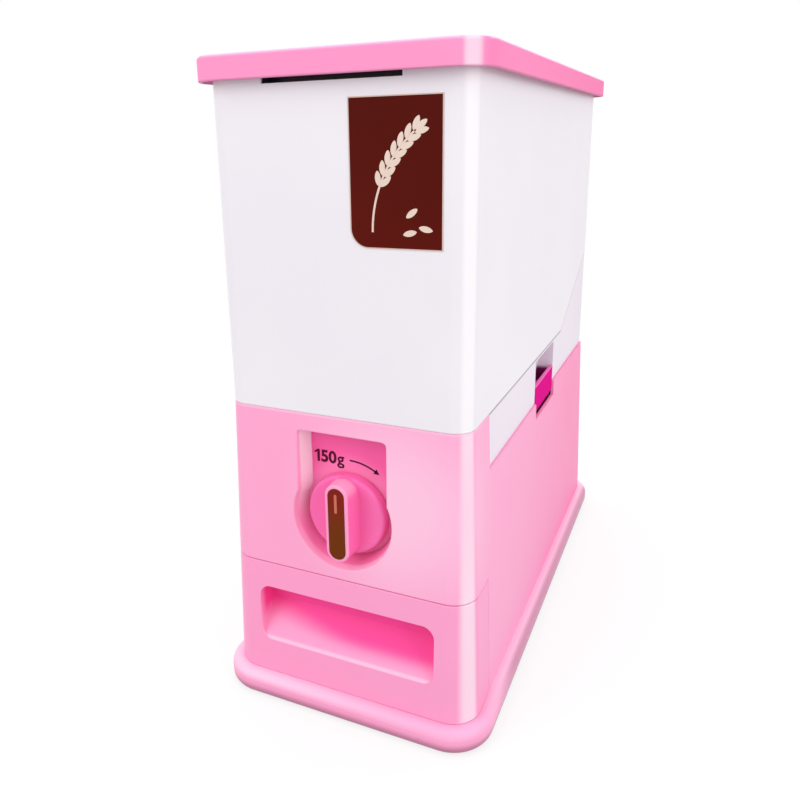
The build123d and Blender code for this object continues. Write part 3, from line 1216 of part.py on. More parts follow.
# Label on the front of the hopper, with one rounded corner
with BuildPart() as front_label:
    with BuildSketch(front_plane(-HALF_DEPTH)):
        with Locations((LABEL_LEFT + LABEL_WIDTH / 2, LABEL_BOTTOM + LABEL_HEIGHT / 2)):
            panel = Rectangle(LABEL_WIDTH, LABEL_HEIGHT)
        fillet(panel.vertices().sort_by(Axis.X)[:2].sort_by(Axis.Z)[0], LABEL_CORNER)
    extrude(amount=LABEL_THICKNESS)
save(front_label.part, "front_label")
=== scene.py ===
"""Dressed scene of a countertop rice dispenser: white hopper, pink body, hinged lid, metering dial and drawer.

Lengths in the dataclasses are millimetres in the object's own frame: +X right, +Y to the back, +Z up. A Span holds the
value at which a mask is 0 and the value at which it is 1.
"""

import json
import logging
import math
from dataclasses import dataclass
from enum import Enum
from typing import Any, Callable, Iterable, List, Mapping, Optional, Sequence, Tuple, TypeVar, Union

import bmesh
import bpy
from mathutils import Matrix, Vector

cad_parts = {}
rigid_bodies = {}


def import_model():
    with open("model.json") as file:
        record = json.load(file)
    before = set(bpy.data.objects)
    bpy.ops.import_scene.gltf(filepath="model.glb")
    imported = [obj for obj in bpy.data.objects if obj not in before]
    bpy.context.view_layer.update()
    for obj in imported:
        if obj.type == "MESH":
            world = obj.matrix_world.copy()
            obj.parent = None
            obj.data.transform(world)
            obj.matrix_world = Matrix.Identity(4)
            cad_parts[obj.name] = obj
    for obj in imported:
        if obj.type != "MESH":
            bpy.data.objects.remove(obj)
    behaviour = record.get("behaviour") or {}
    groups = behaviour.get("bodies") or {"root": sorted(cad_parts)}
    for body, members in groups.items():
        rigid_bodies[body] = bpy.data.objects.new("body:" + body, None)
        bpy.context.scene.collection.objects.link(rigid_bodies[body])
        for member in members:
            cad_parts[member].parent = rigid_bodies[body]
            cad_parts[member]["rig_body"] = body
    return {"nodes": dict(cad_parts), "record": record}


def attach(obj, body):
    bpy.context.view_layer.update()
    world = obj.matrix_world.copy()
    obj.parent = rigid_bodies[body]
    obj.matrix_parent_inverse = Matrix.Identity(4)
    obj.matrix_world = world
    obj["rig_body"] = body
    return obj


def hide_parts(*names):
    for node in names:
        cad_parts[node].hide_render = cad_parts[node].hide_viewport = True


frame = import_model()

LOG = logging.getLogger("rice_dispenser")
MM = 0.001
DIAL_Z = 157.0
Corner = Tuple[float, float, float]
Span = Tuple[float, float]
Mesh = bmesh.types.BMesh
Vert = bmesh.types.BMVert
Face = bmesh.types.BMFace
Operand = Union["Signal", float, int]
Socketable = Union["Signal", "Paint", float, int, Sequence[float]]
Number = TypeVar("Number", float, "Signal")

# Sockets of a Mix node on colours
MIX_FACTOR, MIX_LOW, MIX_HIGH, MIX_RESULT = 0, 6, 7, 2


class Body(str, Enum):
    """Bodies that new pieces ride on."""

    HOUSING = "housing"
    DIAL = "dial"


class Slot(str, Enum):
    """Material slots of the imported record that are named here."""

    KNOB_PINK = "knob_pink"
    INSERT_BROWN = "insert_brown"
    DIAL_PLATE = "dial_plate"
    LABEL = "label"
    INNER_PLASTIC = "inner_plastic"
    BUSH = "bush"
    SEAL = "seal"
    STEEL = "steel"


# ---- shader tools


@dataclass(frozen=True)
class Paint:
    """A colour as 8-bit display values."""

    red: float
    green: float
    blue: float

    @property
    def linear(self) -> Tuple[float, float, float, float]:
        """The colour as the shader takes it.

        Returns:
            Linear red, green and blue, and a full alpha.
        """
        shares = [value / 255 for value in (self.red, self.green, self.blue)]
        flat = [s / 12.92 if s <= 0.04045 else ((s + 0.055) / 1.055) ** 2.4 for s in shares]
        return flat[0], flat[1], flat[2], 1.0


class Signal:
    """An output socket that can be used in arithmetic; each operation adds its Math node."""

    def __init__(self, graph: "Graph", socket: bpy.types.NodeSocket) -> None:
        """Wraps one output socket of a graph."""
        self.graph = graph
        self.socket = socket

    def _math(self, operation: str, first: Operand, second: Operand = 0.0) -> "Signal":
        """Adds one Math node with two operands."""
        return self.graph.add("ShaderNodeMath", {"operation": operation}, {0: first, 1: second})

    def __add__(self, other: Operand) -> "Signal":
        """Sum."""
        return self._math("ADD", self, other)

    def __radd__(self, other: Operand) -> "Signal":
        """Sum with a number on the left."""
        return self._math("ADD", other, self)

    def __sub__(self, other: Operand) -> "Signal":
        """Difference."""
        return self._math("SUBTRACT", self, other)

    def __rsub__(self, other: Operand) -> "Signal":
        """Difference with a number on the left."""
        return self._math("SUBTRACT", other, self)

    def __mul__(self, other: Operand) -> "Signal":
        """Product."""
        return self._math("MULTIPLY", self, other)

    def __rmul__(self, other: Operand) -> "Signal":
        """Product with a number on the left."""
        return self._math("MULTIPLY", other, self)

    def __truediv__(self, other: Operand) -> "Signal":
        """Quotient."""
        return self._math("DIVIDE", self, other)

    def __rtruediv__(self, other: Operand) -> "Signal":
        """Quotient with a number on the left."""
        return self._math("DIVIDE", other, self)

    def __abs__(self) -> "Signal":
        """Absolute value."""
        return self._math("ABSOLUTE", self)

    def highest(self, other: Operand) -> "Signal":
        """The larger of two values."""
        return self._math("MAXIMUM", self, other)

    def reach(self, other: "Signal") -> "Signal":
        """Distance from the origin, where this signal and another are the two coordinates."""
        return self._math("SQRT", self * self + other * other)

    def rise(self, low: float, high: float) -> "Signal":
        """Smooth step from 0 at low to 1 at high, or the other way round where low is above high.

        Args:
            low: value at which the step is 0.
            high: value at which the step is 1.

        Returns:
            The step as a signal between 0 and 1.
        """
        start, end, first, last = (low, high, 0.0, 1.0) if low < high else (high, low, 1.0, 0.0)
        sockets = {"Value": self, "From Min": start, "From Max": end, "To Min": first, "To Max": last}
        return self.graph.add("ShaderNodeMapRange", {"interpolation_type": "SMOOTHSTEP"}, sockets)

    def blend(self, low: Socketable, high: Socketable) -> "Signal":
        """Mixes two colours, low where this signal is 0 and high where it is 1."""
        sockets = {MIX_FACTOR: self, MIX_LOW: low, MIX_HIGH: high}
        return self.graph.add("ShaderNodeMix", {"data_type": "RGBA"}, sockets, MIX_RESULT)


class Graph:
    """A node tree that nodes are added to."""

    def __init__(self, tree: bpy.types.NodeTree) -> None:
        """Empties a node tree and takes it over."""
        self.tree = tree
        tree.nodes.clear()

    def add(
        self,
        kind: str,
        settings: Optional[Mapping[str, Any]] = None,
        sockets: Optional[Mapping[Any, Socketable]] = None,
        output: Union[int, str] = 0,
    ) -> Signal:
        """Adds a node.

        Args:
            kind: the node's type name.
            settings: attributes that are set before the sockets.
            sockets: values or links of the input sockets, by name or number.
            output: the output to hand back.

        Returns:
            The output as a signal.
        """
        node = self.tree.nodes.new(kind)
        for key, value in (settings or {}).items():
            setattr(node, key, value)
        for key, value in (sockets or {}).items():
            if isinstance(value, Signal):
                self.tree.links.new(value.socket, node.inputs[key])
            else:
                node.inputs[key].default_value = value.linear if isinstance(value, Paint) else value
        return Signal(self, node.outputs[output] if len(node.outputs) else None)


class Spot:
    """The point that is shaded, in object coordinates: a vector in metres and three signals in millimetres."""

    def __init__(self, graph: Graph) -> None:
        """Adds the coordinate nodes to a graph.

        Args:
            graph: the material's graph.
        """
        self.graph = graph
        self.place = graph.add("ShaderNodeTexCoord", output="Object")
        parts = graph.add("ShaderNodeSeparateXYZ", None, {0: self.place}).socket.node.outputs
        self.x, self.y, self.z = (Signal(graph, part) / MM for part in parts)

    def noise(self, scale: float, detail: float = 2.0, place: Optional[Signal] = None) -> Signal:
        """Smooth noise between 0 and 1, with scale in cells for each metre of the spot's or of other coordinates."""
        sockets = {"Vector": self.place if place is None else place, "Scale": scale, "Detail": detail}
        return self.graph.add("ShaderNodeTexNoise", None, sockets, "Fac")

    def stretched(self, scale: Corner) -> Signal:
        """Coordinates stretched along the axes."""
        return self.graph.add("ShaderNodeMapping", None, {"Vector": self.place, "Scale": scale})


# ---- finishes


@dataclass(frozen=True)
class FrontWall:
    """The drafted front face that the body and the drawer share."""

    foot_y: float = -214.5
    foot_z: float = 19.0
    lean: float = 7.0 / 212.0

    def sunk(self, y: Number, z: Number) -> Number:
        """How far a point lies behind the face."""
        return y - self.foot_y - (z - self.foot_z) * self.lean


FRONT_WALL = FrontWall()


@dataclass(frozen=True)
class Finish:
    """What every finish shares: its name, its paint and a paler or darker tone that it drifts to."""

    name: str
    paint: Paint
    drift: Paint
    roughness: float = 0.3
    spread: float = 0.03
    spread_scale: float = 30.0
    cloud_scale: float = 6.0
    cloud: Span = (0.3, 0.7)
    peel_scale: float = 150.0
    peel_depth: float = 0.00001
    peel_strength: float = 0.1
    specular: float = 0.3
    metallic: float = 0.0

    def colour(self, at: Spot) -> Signal:
        """Paint that drifts softly between the two tones."""
        return at.noise(self.cloud_scale).rise(*self.cloud).blend(self.paint, self.drift)

    def height(self, at: Spot) -> Signal:
        """Relief of the surface: the faint ripple of a moulded skin."""
        return at.noise(self.peel_scale, detail=1.0)

    def sheen(self, at: Spot) -> Signal:
        """Roughness, uneven over the surface."""
        return self.roughness + (at.noise(self.spread_scale, detail=1.0) - 0.5) * (2 * self.spread)

    def material(self) -> bpy.types.Material:
        """Makes the finish's material, once.

        Returns:
            The material.
        """
        made = bpy.data.materials.get(self.name)
        if made is not None:
            return made
        made = bpy.data.materials.new(self.name)
        made.use_nodes = True
        graph = Graph(made.node_tree)
        at = Spot(graph)
        relief = {"Strength": self.peel_strength, "Distance": self.peel_depth, "Height": self.height(at)}
        sockets = {
            "Base Color": self.colour(at),
            "Roughness": self.sheen(at),
            "Normal": graph.add("ShaderNodeBump", None, relief),
            "Metallic": self.metallic,
            "Specular IOR Level": self.specular,
        }
        shader = graph.add("ShaderNodeBsdfPrincipled", None, sockets)
        graph.add("ShaderNodeOutputMaterial", None, {"Surface": shader})
        return made


@dataclass(frozen=True)
class Moulded(Finish):
    """Plain moulded plastic."""


@dataclass(frozen=True)
class Shelled(Finish):
    """Moulded shell with a painted highlight down its right upright corners and painted shade along its right side.

    The paler band is a share of the corner's quarter turn: highlight_turn is measured on the sine of twice the angle,
    and highlight_skew shifts the band towards the front or the flank.
    """

    # Painted highlight: the paler tone down the right upright corners.
    pale: Paint = Paint(255, 236, 247)
    highlight_share: float = 0.78
    highlight_skew: float = 0.7
    highlight_turn: Span = (0.62, 0.97)
    highlight_reach: Span = (10.0, 12.0)
    centre_x: float = 75.0
    centre_y: float = 192.5
    never_zero: float = 0.01
    # Painted shade: the deeper tone along the right side, growing towards the back.
    flank_shade: Optional[Paint] = None
    flank_front: float = 0.0
    flank_x: Span = (86.0, 93.0)
    flank_y: Span = (-190.0, 190.0)

    def colour(self, at: Spot) -> Signal:
        """Drifting paint with the painted highlight on the right upright corners and the painted shade along the right
        side.

        Args:
            at: the point that is shaded.

        Returns:
            The colour signal.
        """
        base = super().colour(at)
        # Painted shade along the right side.
        if self.flank_shade is not None:
            share = self.flank_front + at.y.rise(*self.flank_y) * (1.0 - self.flank_front)
            base = (at.x.rise(*self.flank_x) * share).blend(base, self.flank_shade)
        # Painted highlight down the right upright corners.
        across = (at.x - self.centre_x).highest(0.0)
        along = (abs(at.y) - self.centre_y).highest(0.0)
        skewed = across * self.highlight_skew
        turn = skewed * along * 2.0 / (skewed * skewed + along * along + self.never_zero)
        band = turn.rise(*self.highlight_turn) * across.reach(along).rise(*self.highlight_reach)
        return (band * self.highlight_share).blend(base, self.pale)


@dataclass(frozen=True)
class Lipped(Shelled):
    """Moulding with a painted highlight along its top edge, which fades along the front, and painted shade on its lower
    edge and right side.
    """

    # Painted highlight along the top edge.
    crest_highlight: Paint = Paint(255, 216, 236)
    crest_z: Span = (0.0, 1.0)
    crest_highlight_share: float = 0.6
    fade_x: Span = (-70.0, 85.0)
    fade_y: Span = (-150.0, -205.0)
    fade_share: float = 0.0
    edge_x: float = 95.5
    edge_y: float = 213.0
    edge_run: Span = (0.0, 1.5)
    # Painted shade on the lower edge and on the right side.
    under_shade: Paint = Paint(214, 138, 172)
    under_z: Span = (1.0, 0.0)
    under_shade_share: float = 0.8
    side_x: Span = (100.5, 105.0)
    side_y: Span = (-200.0, -120.0)
    side_shade_share: float = 0.0

    def colour(self, at: Spot) -> Signal:
        """Paint with the painted highlight along the top and the painted shade on the lower edge and the right side.

        Args:
            at: the point that is shaded.

        Returns:
            The colour signal.
        """
        edge = (abs(at.x) - self.edge_x).highest(abs(at.y) - self.edge_y).rise(*self.edge_run)
        fade = 1.0 - at.x.rise(*self.fade_x) * at.y.rise(*self.fade_y) * self.fade_share
        # Painted highlight along the top edge.
        crest_highlight = at.z.rise(*self.crest_z) * edge * fade * self.crest_highlight_share
        # Painted shade on the right side and on the lower edge.
        side = at.x.rise(*self.side_x) * at.y.rise(*self.side_y) * self.side_shade_share
        under_shade = (at.z.rise(*self.under_z) * self.under_shade_share).highest(side)
        return under_shade.blend(crest_highlight.blend(super().colour(at), self.crest_highlight), self.under_shade)


@dataclass(frozen=True)
class PlatePink(Finish):
    """The dial plate's deep pink, paler round the knob."""

    halo: Paint = Paint(252, 150, 198)
    halo_reach: Span = (46.0, 30.0)
    halo_share: float = 0.7

    def colour(self, at: Spot) -> Signal:
        """Deep pink with the paler ring."""
        ring = at.x.reach(at.z - DIAL_Z).rise(*self.halo_reach)
        return (ring * self.halo_share).blend(super().colour(at), self.halo)


@dataclass(frozen=True)
class BodyPink(Shelled):
    """The body's pink, with painted highlights in a broad patch right of the dial, along its upper edge and in the
    upper well, and painted shade in the lower well.
    """

    # Painted highlight: a broad pale patch right of the dial.
    highlight_patch: Paint = Paint(255, 205, 230)
    highlight_patch_x: float = 40.0
    highlight_patch_z: float = 172.0
    highlight_patch_reach: Span = (95.0, 10.0)
    highlight_patch_share: float = 0.8
    front_y: Span = (-150.0, -200.0)
    # Painted highlight along the upper edge.
    highlight_edge_z: Span = (228.8, 229.8)
    highlight_edge_share: float = 0.55
    well_mouth: Span = (-206.5, -204.5)
    well_end: Span = (-180.0, -190.0)
    well_x: Span = (40.0, 39.0)
    well_z: Span = (112.0, 115.0)
    # Painted shade low in the well and painted highlight high in it.
    well_foot_shade: Paint = Paint(255, 140, 196)
    well_top_highlight: Paint = Paint(255, 222, 238)
    well_turn: Span = (138.0, 180.0)

    def colour(self, at: Spot) -> Signal:
        """Drifting pink with the painted highlights on the patch, the upper edge and the upper well, and the painted
        shade in the lower well.

        Args:
            at: the point that is shaded.

        Returns:
            The colour signal.
        """
        # Painted highlights: the broad patch and the upper edge.
        highlight_patch = (at.x - self.highlight_patch_x).reach(at.z - self.highlight_patch_z).rise(*self.highlight_patch_reach) * self.highlight_patch_share
        edge = at.z.rise(*self.highlight_edge_z) * self.highlight_edge_share
        front = at.y.rise(*self.front_y) * highlight_patch.highest(edge)
        well = at.y.rise(*self.well_mouth) * at.y.rise(*self.well_end)
        inside = well * at.z.rise(*self.well_z) * abs(at.x).rise(*self.well_x)
        # Painted shade low in the well, painted highlight high in it.
        wall = at.z.rise(*self.well_turn).blend(self.well_foot_shade, self.well_top_highlight)
        return inside.blend(front.blend(super().colour(at), self.highlight_patch), wall)


@dataclass(frozen=True)
class DrawerPink(Shelled):
    """The drawer's pink, with painted shade inside the finger scoop from a height that falls to the right, and a
    painted highlight on the scoop's lower rim.
    """

    # Painted shade: the deep pink inside the finger scoop.
    deep: Paint = Paint(252, 76, 162)
    deep_y: Span = (-212.5, -204.0)
    turn_left: float = 64.0
    turn_right: float = 53.0
    turn_x: Span = (-72.0, 14.4)
    turn_run: Span = (-8.0, 8.0)
    scoop_x: Span = (73.0, 71.0)
    scoop_low: Span = (43.0, 45.0)
    scoop_high: Span = (93.0, 91.5)
    # Painted highlight along the scoop's lower rim.
    rim: Paint = Paint(255, 204, 228)
    rim_highlight_share: float = 0.7
    rim_outer: Span = (0.1, 0.5)
    rim_inner: Span = (2.4, 1.2)
    rim_z: Span = (78.0, 54.0)

    def colour(self, at: Spot) -> Signal:
        """Pink with painted shade that deepens with the scoop's depth and height, and a painted highlight on the lower
        rim.

        Args:
            at: the point that is shaded.

        Returns:
            The colour signal.
        """
        turn = self.turn_left - at.x.rise(*self.turn_x) * (self.turn_left - self.turn_right)
        # Painted shade inside the scoop, by depth and height.
        deep = at.y.rise(*self.deep_y) * (at.z - turn).rise(*self.turn_run)
        inside = abs(at.x).rise(*self.scoop_x) * at.z.rise(*self.scoop_high) * at.z.rise(*self.scoop_low)
        scooped = (deep * inside).blend(super().colour(at), self.deep)
        sunk = FRONT_WALL.sunk(at.y, at.z)
        # Painted highlight on the scoop's lower rim.
        rim = sunk.rise(*self.rim_outer) * sunk.rise(*self.rim_inner) * inside * at.z.rise(*self.rim_z)
        return (rim * self.rim_highlight_share).blend(scooped, self.rim)


@dataclass(frozen=True)
class BandWhite(Shelled):
    """The band's white, with painted shade along the joint below the hopper's skirt and dark plum painted shade inside
    the two latch hollows.
    """

    # Painted shade: the grey line along the joint below the hopper's skirt.
    seam_shade: Paint = Paint(150, 140, 150)
    seam_z: float = 231.0
    seam_run: Span = (-1.9, -0.5)
    climb_y: float = 79.0
    climb: float = 66.0 / 128.5
    # Painted shade: the dark plum inside the latch hollows.
    hollow_shade: Paint = Paint(130, 32, 100)
    hollow_front: Span = (-24.0, -23.9)
    hollow_rear: Span = (48.0, 47.9)
    hollow_low: Span = (165.0, 166.0)
    hollow_high: Span = (205.0, 201.0)
    hollow_x: Span = (89.4, 89.2)

    def colour(self, at: Spot) -> Signal:
        """White with the painted shade line, which is level and then climbs to the back, and with the painted shade in
        the hollows.

        Args:
            at: the point that is shaded.

        Returns:
            The colour signal.
        """
        # Painted shade line below the skirt.
        over = at.z - self.seam_z - (at.y - self.climb_y).highest(0.0) * self.climb
        white = over.rise(*self.seam_run).blend(super().colour(at), self.seam_shade)
        # Painted shade inside the latch hollows.
        length = at.y.rise(*self.hollow_front) * at.y.rise(*self.hollow_rear)
        height = at.z.rise(*self.hollow_low) * at.z.rise(*self.hollow_high)
        return (length * height * abs(at.x).rise(*self.hollow_x)).blend(white, self.hollow_shade)


@dataclass(frozen=True)
class HopperWhite(Shelled):
    """The hopper's white, with dark painted shade inside the finger slot below the lid."""

    # Painted shade: the dark tone inside the finger slot.
    slot_shade: Paint = Paint(52, 48, 52)
    slot_x: Span = (47.4, 47.2)
    slot_z: Span = (443.1, 443.3)
    slot_mouth: Span = (-206.6, -205.6)
    slot_end: Span = (-194.0, -195.0)

    def colour(self, at: Spot) -> Signal:
        """White with the painted shade inside the slot."""
        # Painted shade inside the slot.
        depth = at.y.rise(*self.slot_mouth) * at.y.rise(*self.slot_end) * at.z.rise(*self.slot_z)
        return (depth * abs(at.x).rise(*self.slot_x)).blend(super().colour(at), self.slot_shade)


@dataclass(frozen=True)
class KnobPink(Finish):
    """The knob's pink, with painted highlights on the bar's rim and on the bar's upper end."""

    # Painted highlight tone for the rim and the bar's upper end.
    pale: Paint = Paint(255, 200, 224)
    rim_y: Span = (-215.6, -216.6)
    rim_highlight_share: float = 0.45
    end_y: Span = (-203.0, -207.0)
    end_z: Span = (174.0, 184.0)
    end_highlight_share: float = 0.5

    def colour(self, at: Spot) -> Signal:
        """Drifting pink with the painted highlights on the rim and the upper end."""
        # Painted highlights on the bar's upper end and on the rim.
        end = at.z.rise(*self.end_z) * at.y.rise(*self.end_y) * self.end_highlight_share
        return (at.y.rise(*self.rim_y) * self.rim_highlight_share).highest(end).blend(super().colour(at), self.pale)


@dataclass(frozen=True)
class LatchCerise(Finish):
    """The latches' cerise, with a painted highlight along their upper edge."""

    # Painted highlight along the upper edge.
    edge: Paint = Paint(250, 140, 205)
    highlight_edge_z: Span = (204.7, 205.2)
    highlight_edge_share: float = 0.7

    def colour(self, at: Spot) -> Signal:
        """Drifting cerise with the painted highlight along the edge."""
        return (at.z.rise(*self.highlight_edge_z) * self.highlight_edge_share).blend(super().colour(at), self.edge)


@dataclass(frozen=True)
class InsertBrown(Finish):
    """Brown strip, redder at its upper end."""

    upper: Paint = Paint(128, 34, 24)
    upper_z: Span = (150.0, 178.0)

    def colour(self, at: Spot) -> Signal:
        """Brown that turns redder upwards."""
        return at.z.rise(*self.upper_z).blend(super().colour(at), self.upper)


@dataclass(frozen=True)
class LabelFilm(Finish):
    """Brown printed film with a thin pale edge that follows its outline, round at the lower left corner."""

    edge: Paint = Paint(214, 190, 180)
    edge_run: Span = (-0.8, -0.6)
    left: float = 12.0
    right: float = 72.0
    bottom: float = 345.0
    top: float = 433.5
    corner: float = 12.0
    corner_run: Span = (0.0, 0.05)

    def colour(self, at: Spot) -> Signal:
        """Brown, with the pale edge.

        Args:
            at: the point that is shaded.

        Returns:
            The colour signal.
        """
        sides = (self.left - at.x).highest(at.x - self.right).highest(self.bottom - at.z).highest(at.z - self.top)
        across = (self.left + self.corner - at.x).highest(0.0)
        down = (self.bottom + self.corner - at.z).highest(0.0)
        bend = across.reach(down) - self.corner
        in_corner = across.rise(*self.corner_run) * down.rise(*self.corner_run)
        outline = sides * (1.0 - in_corner) + bend * in_corner
        return outline.rise(*self.edge_run).blend(super().colour(at), self.edge)


@dataclass(frozen=True)
class Brushed(Finish):
    """Plated steel with a fine drawn grain."""

    grain_scale: float = 2600.0
    grain_stretch: Corner = (1.0, 0.06, 1.0)

    def height(self, at: Spot) -> Signal:
        """Fine drawn lines."""
        return at.noise(self.grain_scale, place=at.stretched(self.grain_stretch))


# Body pink with its painted corner highlight and painted shade along the right side.
PINK = BodyPink(
    "body_rose", Paint(255, 168, 209), Paint(255, 171, 210), 0.32, specular=0.08, flank_shade=Paint(255, 138, 190)
)
# Foot pink with a painted highlight along the lip's top and painted shade on its lower edge and right side.
FOOT_PINK = Lipped(
    "foot_rose", Paint(255, 166, 207), Paint(253, 171, 210), 0.32, specular=0.15, highlight_share=0.0,
    crest_z=(11.5, 17.0), fade_share=0.8, edge_x=-10.0,
    under_shade=Paint(192, 122, 154), under_z=(11.0, 5.2), under_shade_share=0.9, side_shade_share=0.75,
)
DRAWER = DrawerPink(
    "drawer_rose", Paint(255, 160, 204), Paint(252, 164, 206), 0.32, specular=0.12, highlight_share=0.72
)
# Lid pink with painted corner and top-edge highlights, and painted shade along the right side and lower edge.
LID_PINK = Lipped(
    "lid_rose", Paint(255, 154, 202), Paint(253, 159, 204), 0.42, specular=0.03,
    highlight_share=0.66, highlight_skew=1.33, highlight_turn=(0.83, 0.99), highlight_reach=(21.0, 23.0),
    flank_shade=Paint(255, 128, 184), flank_front=0.6, flank_x=(91.0, 98.0),
    crest_z=(459.5, 461.3), under_z=(447.6, 446.2), under_shade_share=0.5,
)
# Hopper and band whites, whose pale tones are the painted corner highlights.
WHITE = HopperWhite("hopper_white", Paint(243, 237, 244), Paint(239, 234, 241), 0.32, pale=Paint(255, 252, 255))
BAND_WHITE = BandWhite("band_white", Paint(240, 229, 241), Paint(236, 226, 238), 0.34, pale=Paint(250, 244, 250))
BRACKET_WHITE = Moulded("bracket_white", Paint(238, 230, 240), Paint(233, 226, 236), 0.34)
KNOB = KnobPink("knob_rose", Paint(255, 112, 183), Paint(252, 117, 185), 0.32, specular=0.25)
INSERT = InsertBrown("strip_cocoa", Paint(116, 52, 12), Paint(108, 48, 10), 0.4, specular=0.06)
POINTER = Moulded("pointer_tan", Paint(208, 116, 94), Paint(198, 108, 88), 0.45, specular=0.1)
PLATE = PlatePink("plate_deep_rose", Paint(252, 98, 168), Paint(248, 104, 171), 0.36, specular=0.15)
LATCH = LatchCerise("latch_cerise", Paint(238, 26, 148), Paint(230, 32, 146), 0.32, specular=0.0)
LABEL = LabelFilm("label_cocoa", Paint(84, 16, 8), Paint(92, 20, 12), 0.34, specular=0.05)
LABEL_PRINT = Moulded("label_cream", Paint(236, 214, 200), Paint(228, 204, 190), 0.42, specular=0.2)
DIAL_PRINT = Moulded("dial_maroon", Paint(88, 12, 44), Paint(80, 16, 44), 0.5, specular=0.1)
INNER = Moulded("inner_moulding", Paint(230, 230, 226), Paint(222, 222, 220), 0.45)
BUSH = Moulded("bush_grey", Paint(150, 150, 152), Paint(138, 138, 142), 0.4)
TRAY = Moulded("tray_white", Paint(238, 238, 242), Paint(230, 231, 236), 0.36)
SEAL = Moulded("soft_seal", Paint(222, 222, 216), Paint(212, 212, 206), 0.7)
STEEL = Brushed("plated_steel", Paint(196, 197, 201), Paint(176, 178, 184), 0.32, metallic=1.0)


# ---- workshop


def slot_of(node: str) -> str:
    """The record's material slot of a CAD node."""
    return next(row["material_slot"] for row in frame["record"]["subparts"] if row["node"] == node)


def in_metres(point: Sequence[float]) -> Vector:
    """A point in millimetres as a vector in metres."""
    return Vector(point) * MM


def upright(y: float, z: float = 0.0) -> Matrix:
    """Stands a shape that is drawn flat, in millimetres about the Z axis, upright to face the front, in metres."""
    return Matrix.Scale(MM, 4) @ Matrix(((1, 0, 0, 0), (0, 0, -1, y), (0, 1, 0, z), (0, 0, 0, 1)))


def spanned(verts: Sequence[Vert]) -> Face:
    """The face whose corners are all among some vertices."""
    return next(face for face in verts[0].link_faces if all(vert in verts for vert in face.verts))


def raised(bm: Mesh, faces: Iterable[Face], lift: float) -> List[Vert]:
    """Extrudes faces along +Z; the faces themselves stay.

    Args:
        bm: the mesh.
        faces: the faces.
        lift: how far the new faces rise.

    Returns:
        The vertices of the new faces.
    """
    grown = bmesh.ops.extrude_face_region(bm, geom=list(faces))["geom"]
    verts = [item for item in grown if isinstance(item, Vert)]
    bmesh.ops.translate(bm, verts=verts, vec=(0.0, 0.0, lift))
    return verts


def rounded(
    bm: Mesh, edges: Sequence[bmesh.types.BMEdge], radius: float, segments: int, clamp: bool = False
) -> None:
    """Rounds edges.

    Args:
        bm: the mesh.
        edges: the edges.
        radius: how far the round reaches from each edge.
        segments: the number of its steps.
        clamp: whether rounds that would overlap are held apart.
    """
    bmesh.ops.bevel(
        bm, geom=edges, offset=radius, offset_type="OFFSET", segments=segments, profile=0.5, affect="EDGES",
        material=-1, clamp_overlap=clamp,
    )


def crease(bm: Mesh, angle: float) -> None:
    """Shades a mesh smooth, with sharp edges where faces meet at more than an angle.

    Args:
        bm: the mesh.
        angle: the angle in degrees.
    """
    limit = math.radians(angle)
    for face in bm.faces:
        face.smooth = True
    for edge in bm.edges:
        edge.smooth = not edge.is_manifold or edge.calc_face_angle(0.0) < limit


def settle(
    bm: Mesh, name: str, finish: Finish, body: str, stands_for: Sequence[str] = ()
) -> bpy.types.Object:
    """Turns a finished mesh into a piece that rides on a body.

    Args:
        bm: the mesh, in metres and in place; it is freed.
        name: the piece's name.
        finish: its finish.
        body: the body that it rides on.
        stands_for: the CAD nodes that it replaces.

    Returns:
        The piece.
    """
    mesh = bpy.data.meshes.new(name)
    bm.to_mesh(mesh)
    bm.free()
    if "custom_normal" in mesh.attributes:
        mesh.attributes.remove(mesh.attributes["custom_normal"])
    mesh.materials.clear()
    mesh.materials.append(finish.material())
    for polygon in mesh.polygons:
        polygon.material_index = 0
    piece = bpy.data.objects.new(name, mesh)
    bpy.context.scene.collection.objects.link(piece)
    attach(piece, body)
    if stands_for:
        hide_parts(*stands_for)
    LOG.info("%s: %d faces on %s", name, len(mesh.polygons), body)
    return piece


def even_shading(piece: bpy.types.Object, weight: int = 60) -> None:
    """Weights a piece's normals by face area, so that flat faces beside rounds stay flat.

    Args:
        piece: the piece.
        weight: how much the area counts.
    """
    weighted = piece.modifiers.new("even_shading", "WEIGHTED_NORMAL")
    weighted.keep_sharp = True
    weighted.weight = weight


Rework = Callable[[Mesh], None]
Skins = Tuple[Tuple[str, Finish], ...]


@dataclass
class Assembly:
    """A group of pieces: it dresses CAD nodes, and subclasses add pieces of their own."""

    skins: Skins = ()
    sharp_angle: float = 32.0
    merge_distance: float = 0.002

    def build(self) -> None:
        """Dresses the CAD nodes."""
        for node, finish in self.skins:
            self.skin(node, finish)

    def skin(self, node: str, finish: Finish, rework: Optional[Rework] = None) -> None:
        """Stands a merged, smoothly shaded copy in for a CAD node.

        Args:
            node: the CAD node.
            finish: its finish.
            rework: a step that shapes the merged copy further.
        """
        source = frame["nodes"][node]
        bm = bmesh.new()
        bm.from_mesh(source.data)
        bmesh.ops.remove_doubles(bm, verts=bm.verts, dist=self.merge_distance * MM)
        if rework is not None:
            rework(bm)
        crease(bm, self.sharp_angle)
        even_shading(settle(bm, f"{node}_skin", finish, source["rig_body"], (node,)))


@dataclass
class Foot(Assembly):
    """Base plate with its bulged lip."""

    skins: Skins = (("base_plate", FOOT_PINK),)


@dataclass
class Shell(Assembly):
    """Pink lower body, the white band above it and the two side latches."""

    skins: Skins = (
        ("lower_body", PINK), ("support_frame", BAND_WHITE), ("left_latch", LATCH), ("right_latch", LATCH)
    )


@dataclass
class Hopper(Assembly):
    """White hopper with its hinge brackets."""

    skins: Skins = (
        ("hopper", WHITE), ("left_hinge_bracket", BRACKET_WHITE), ("right_hinge_bracket", BRACKET_WHITE)
    )


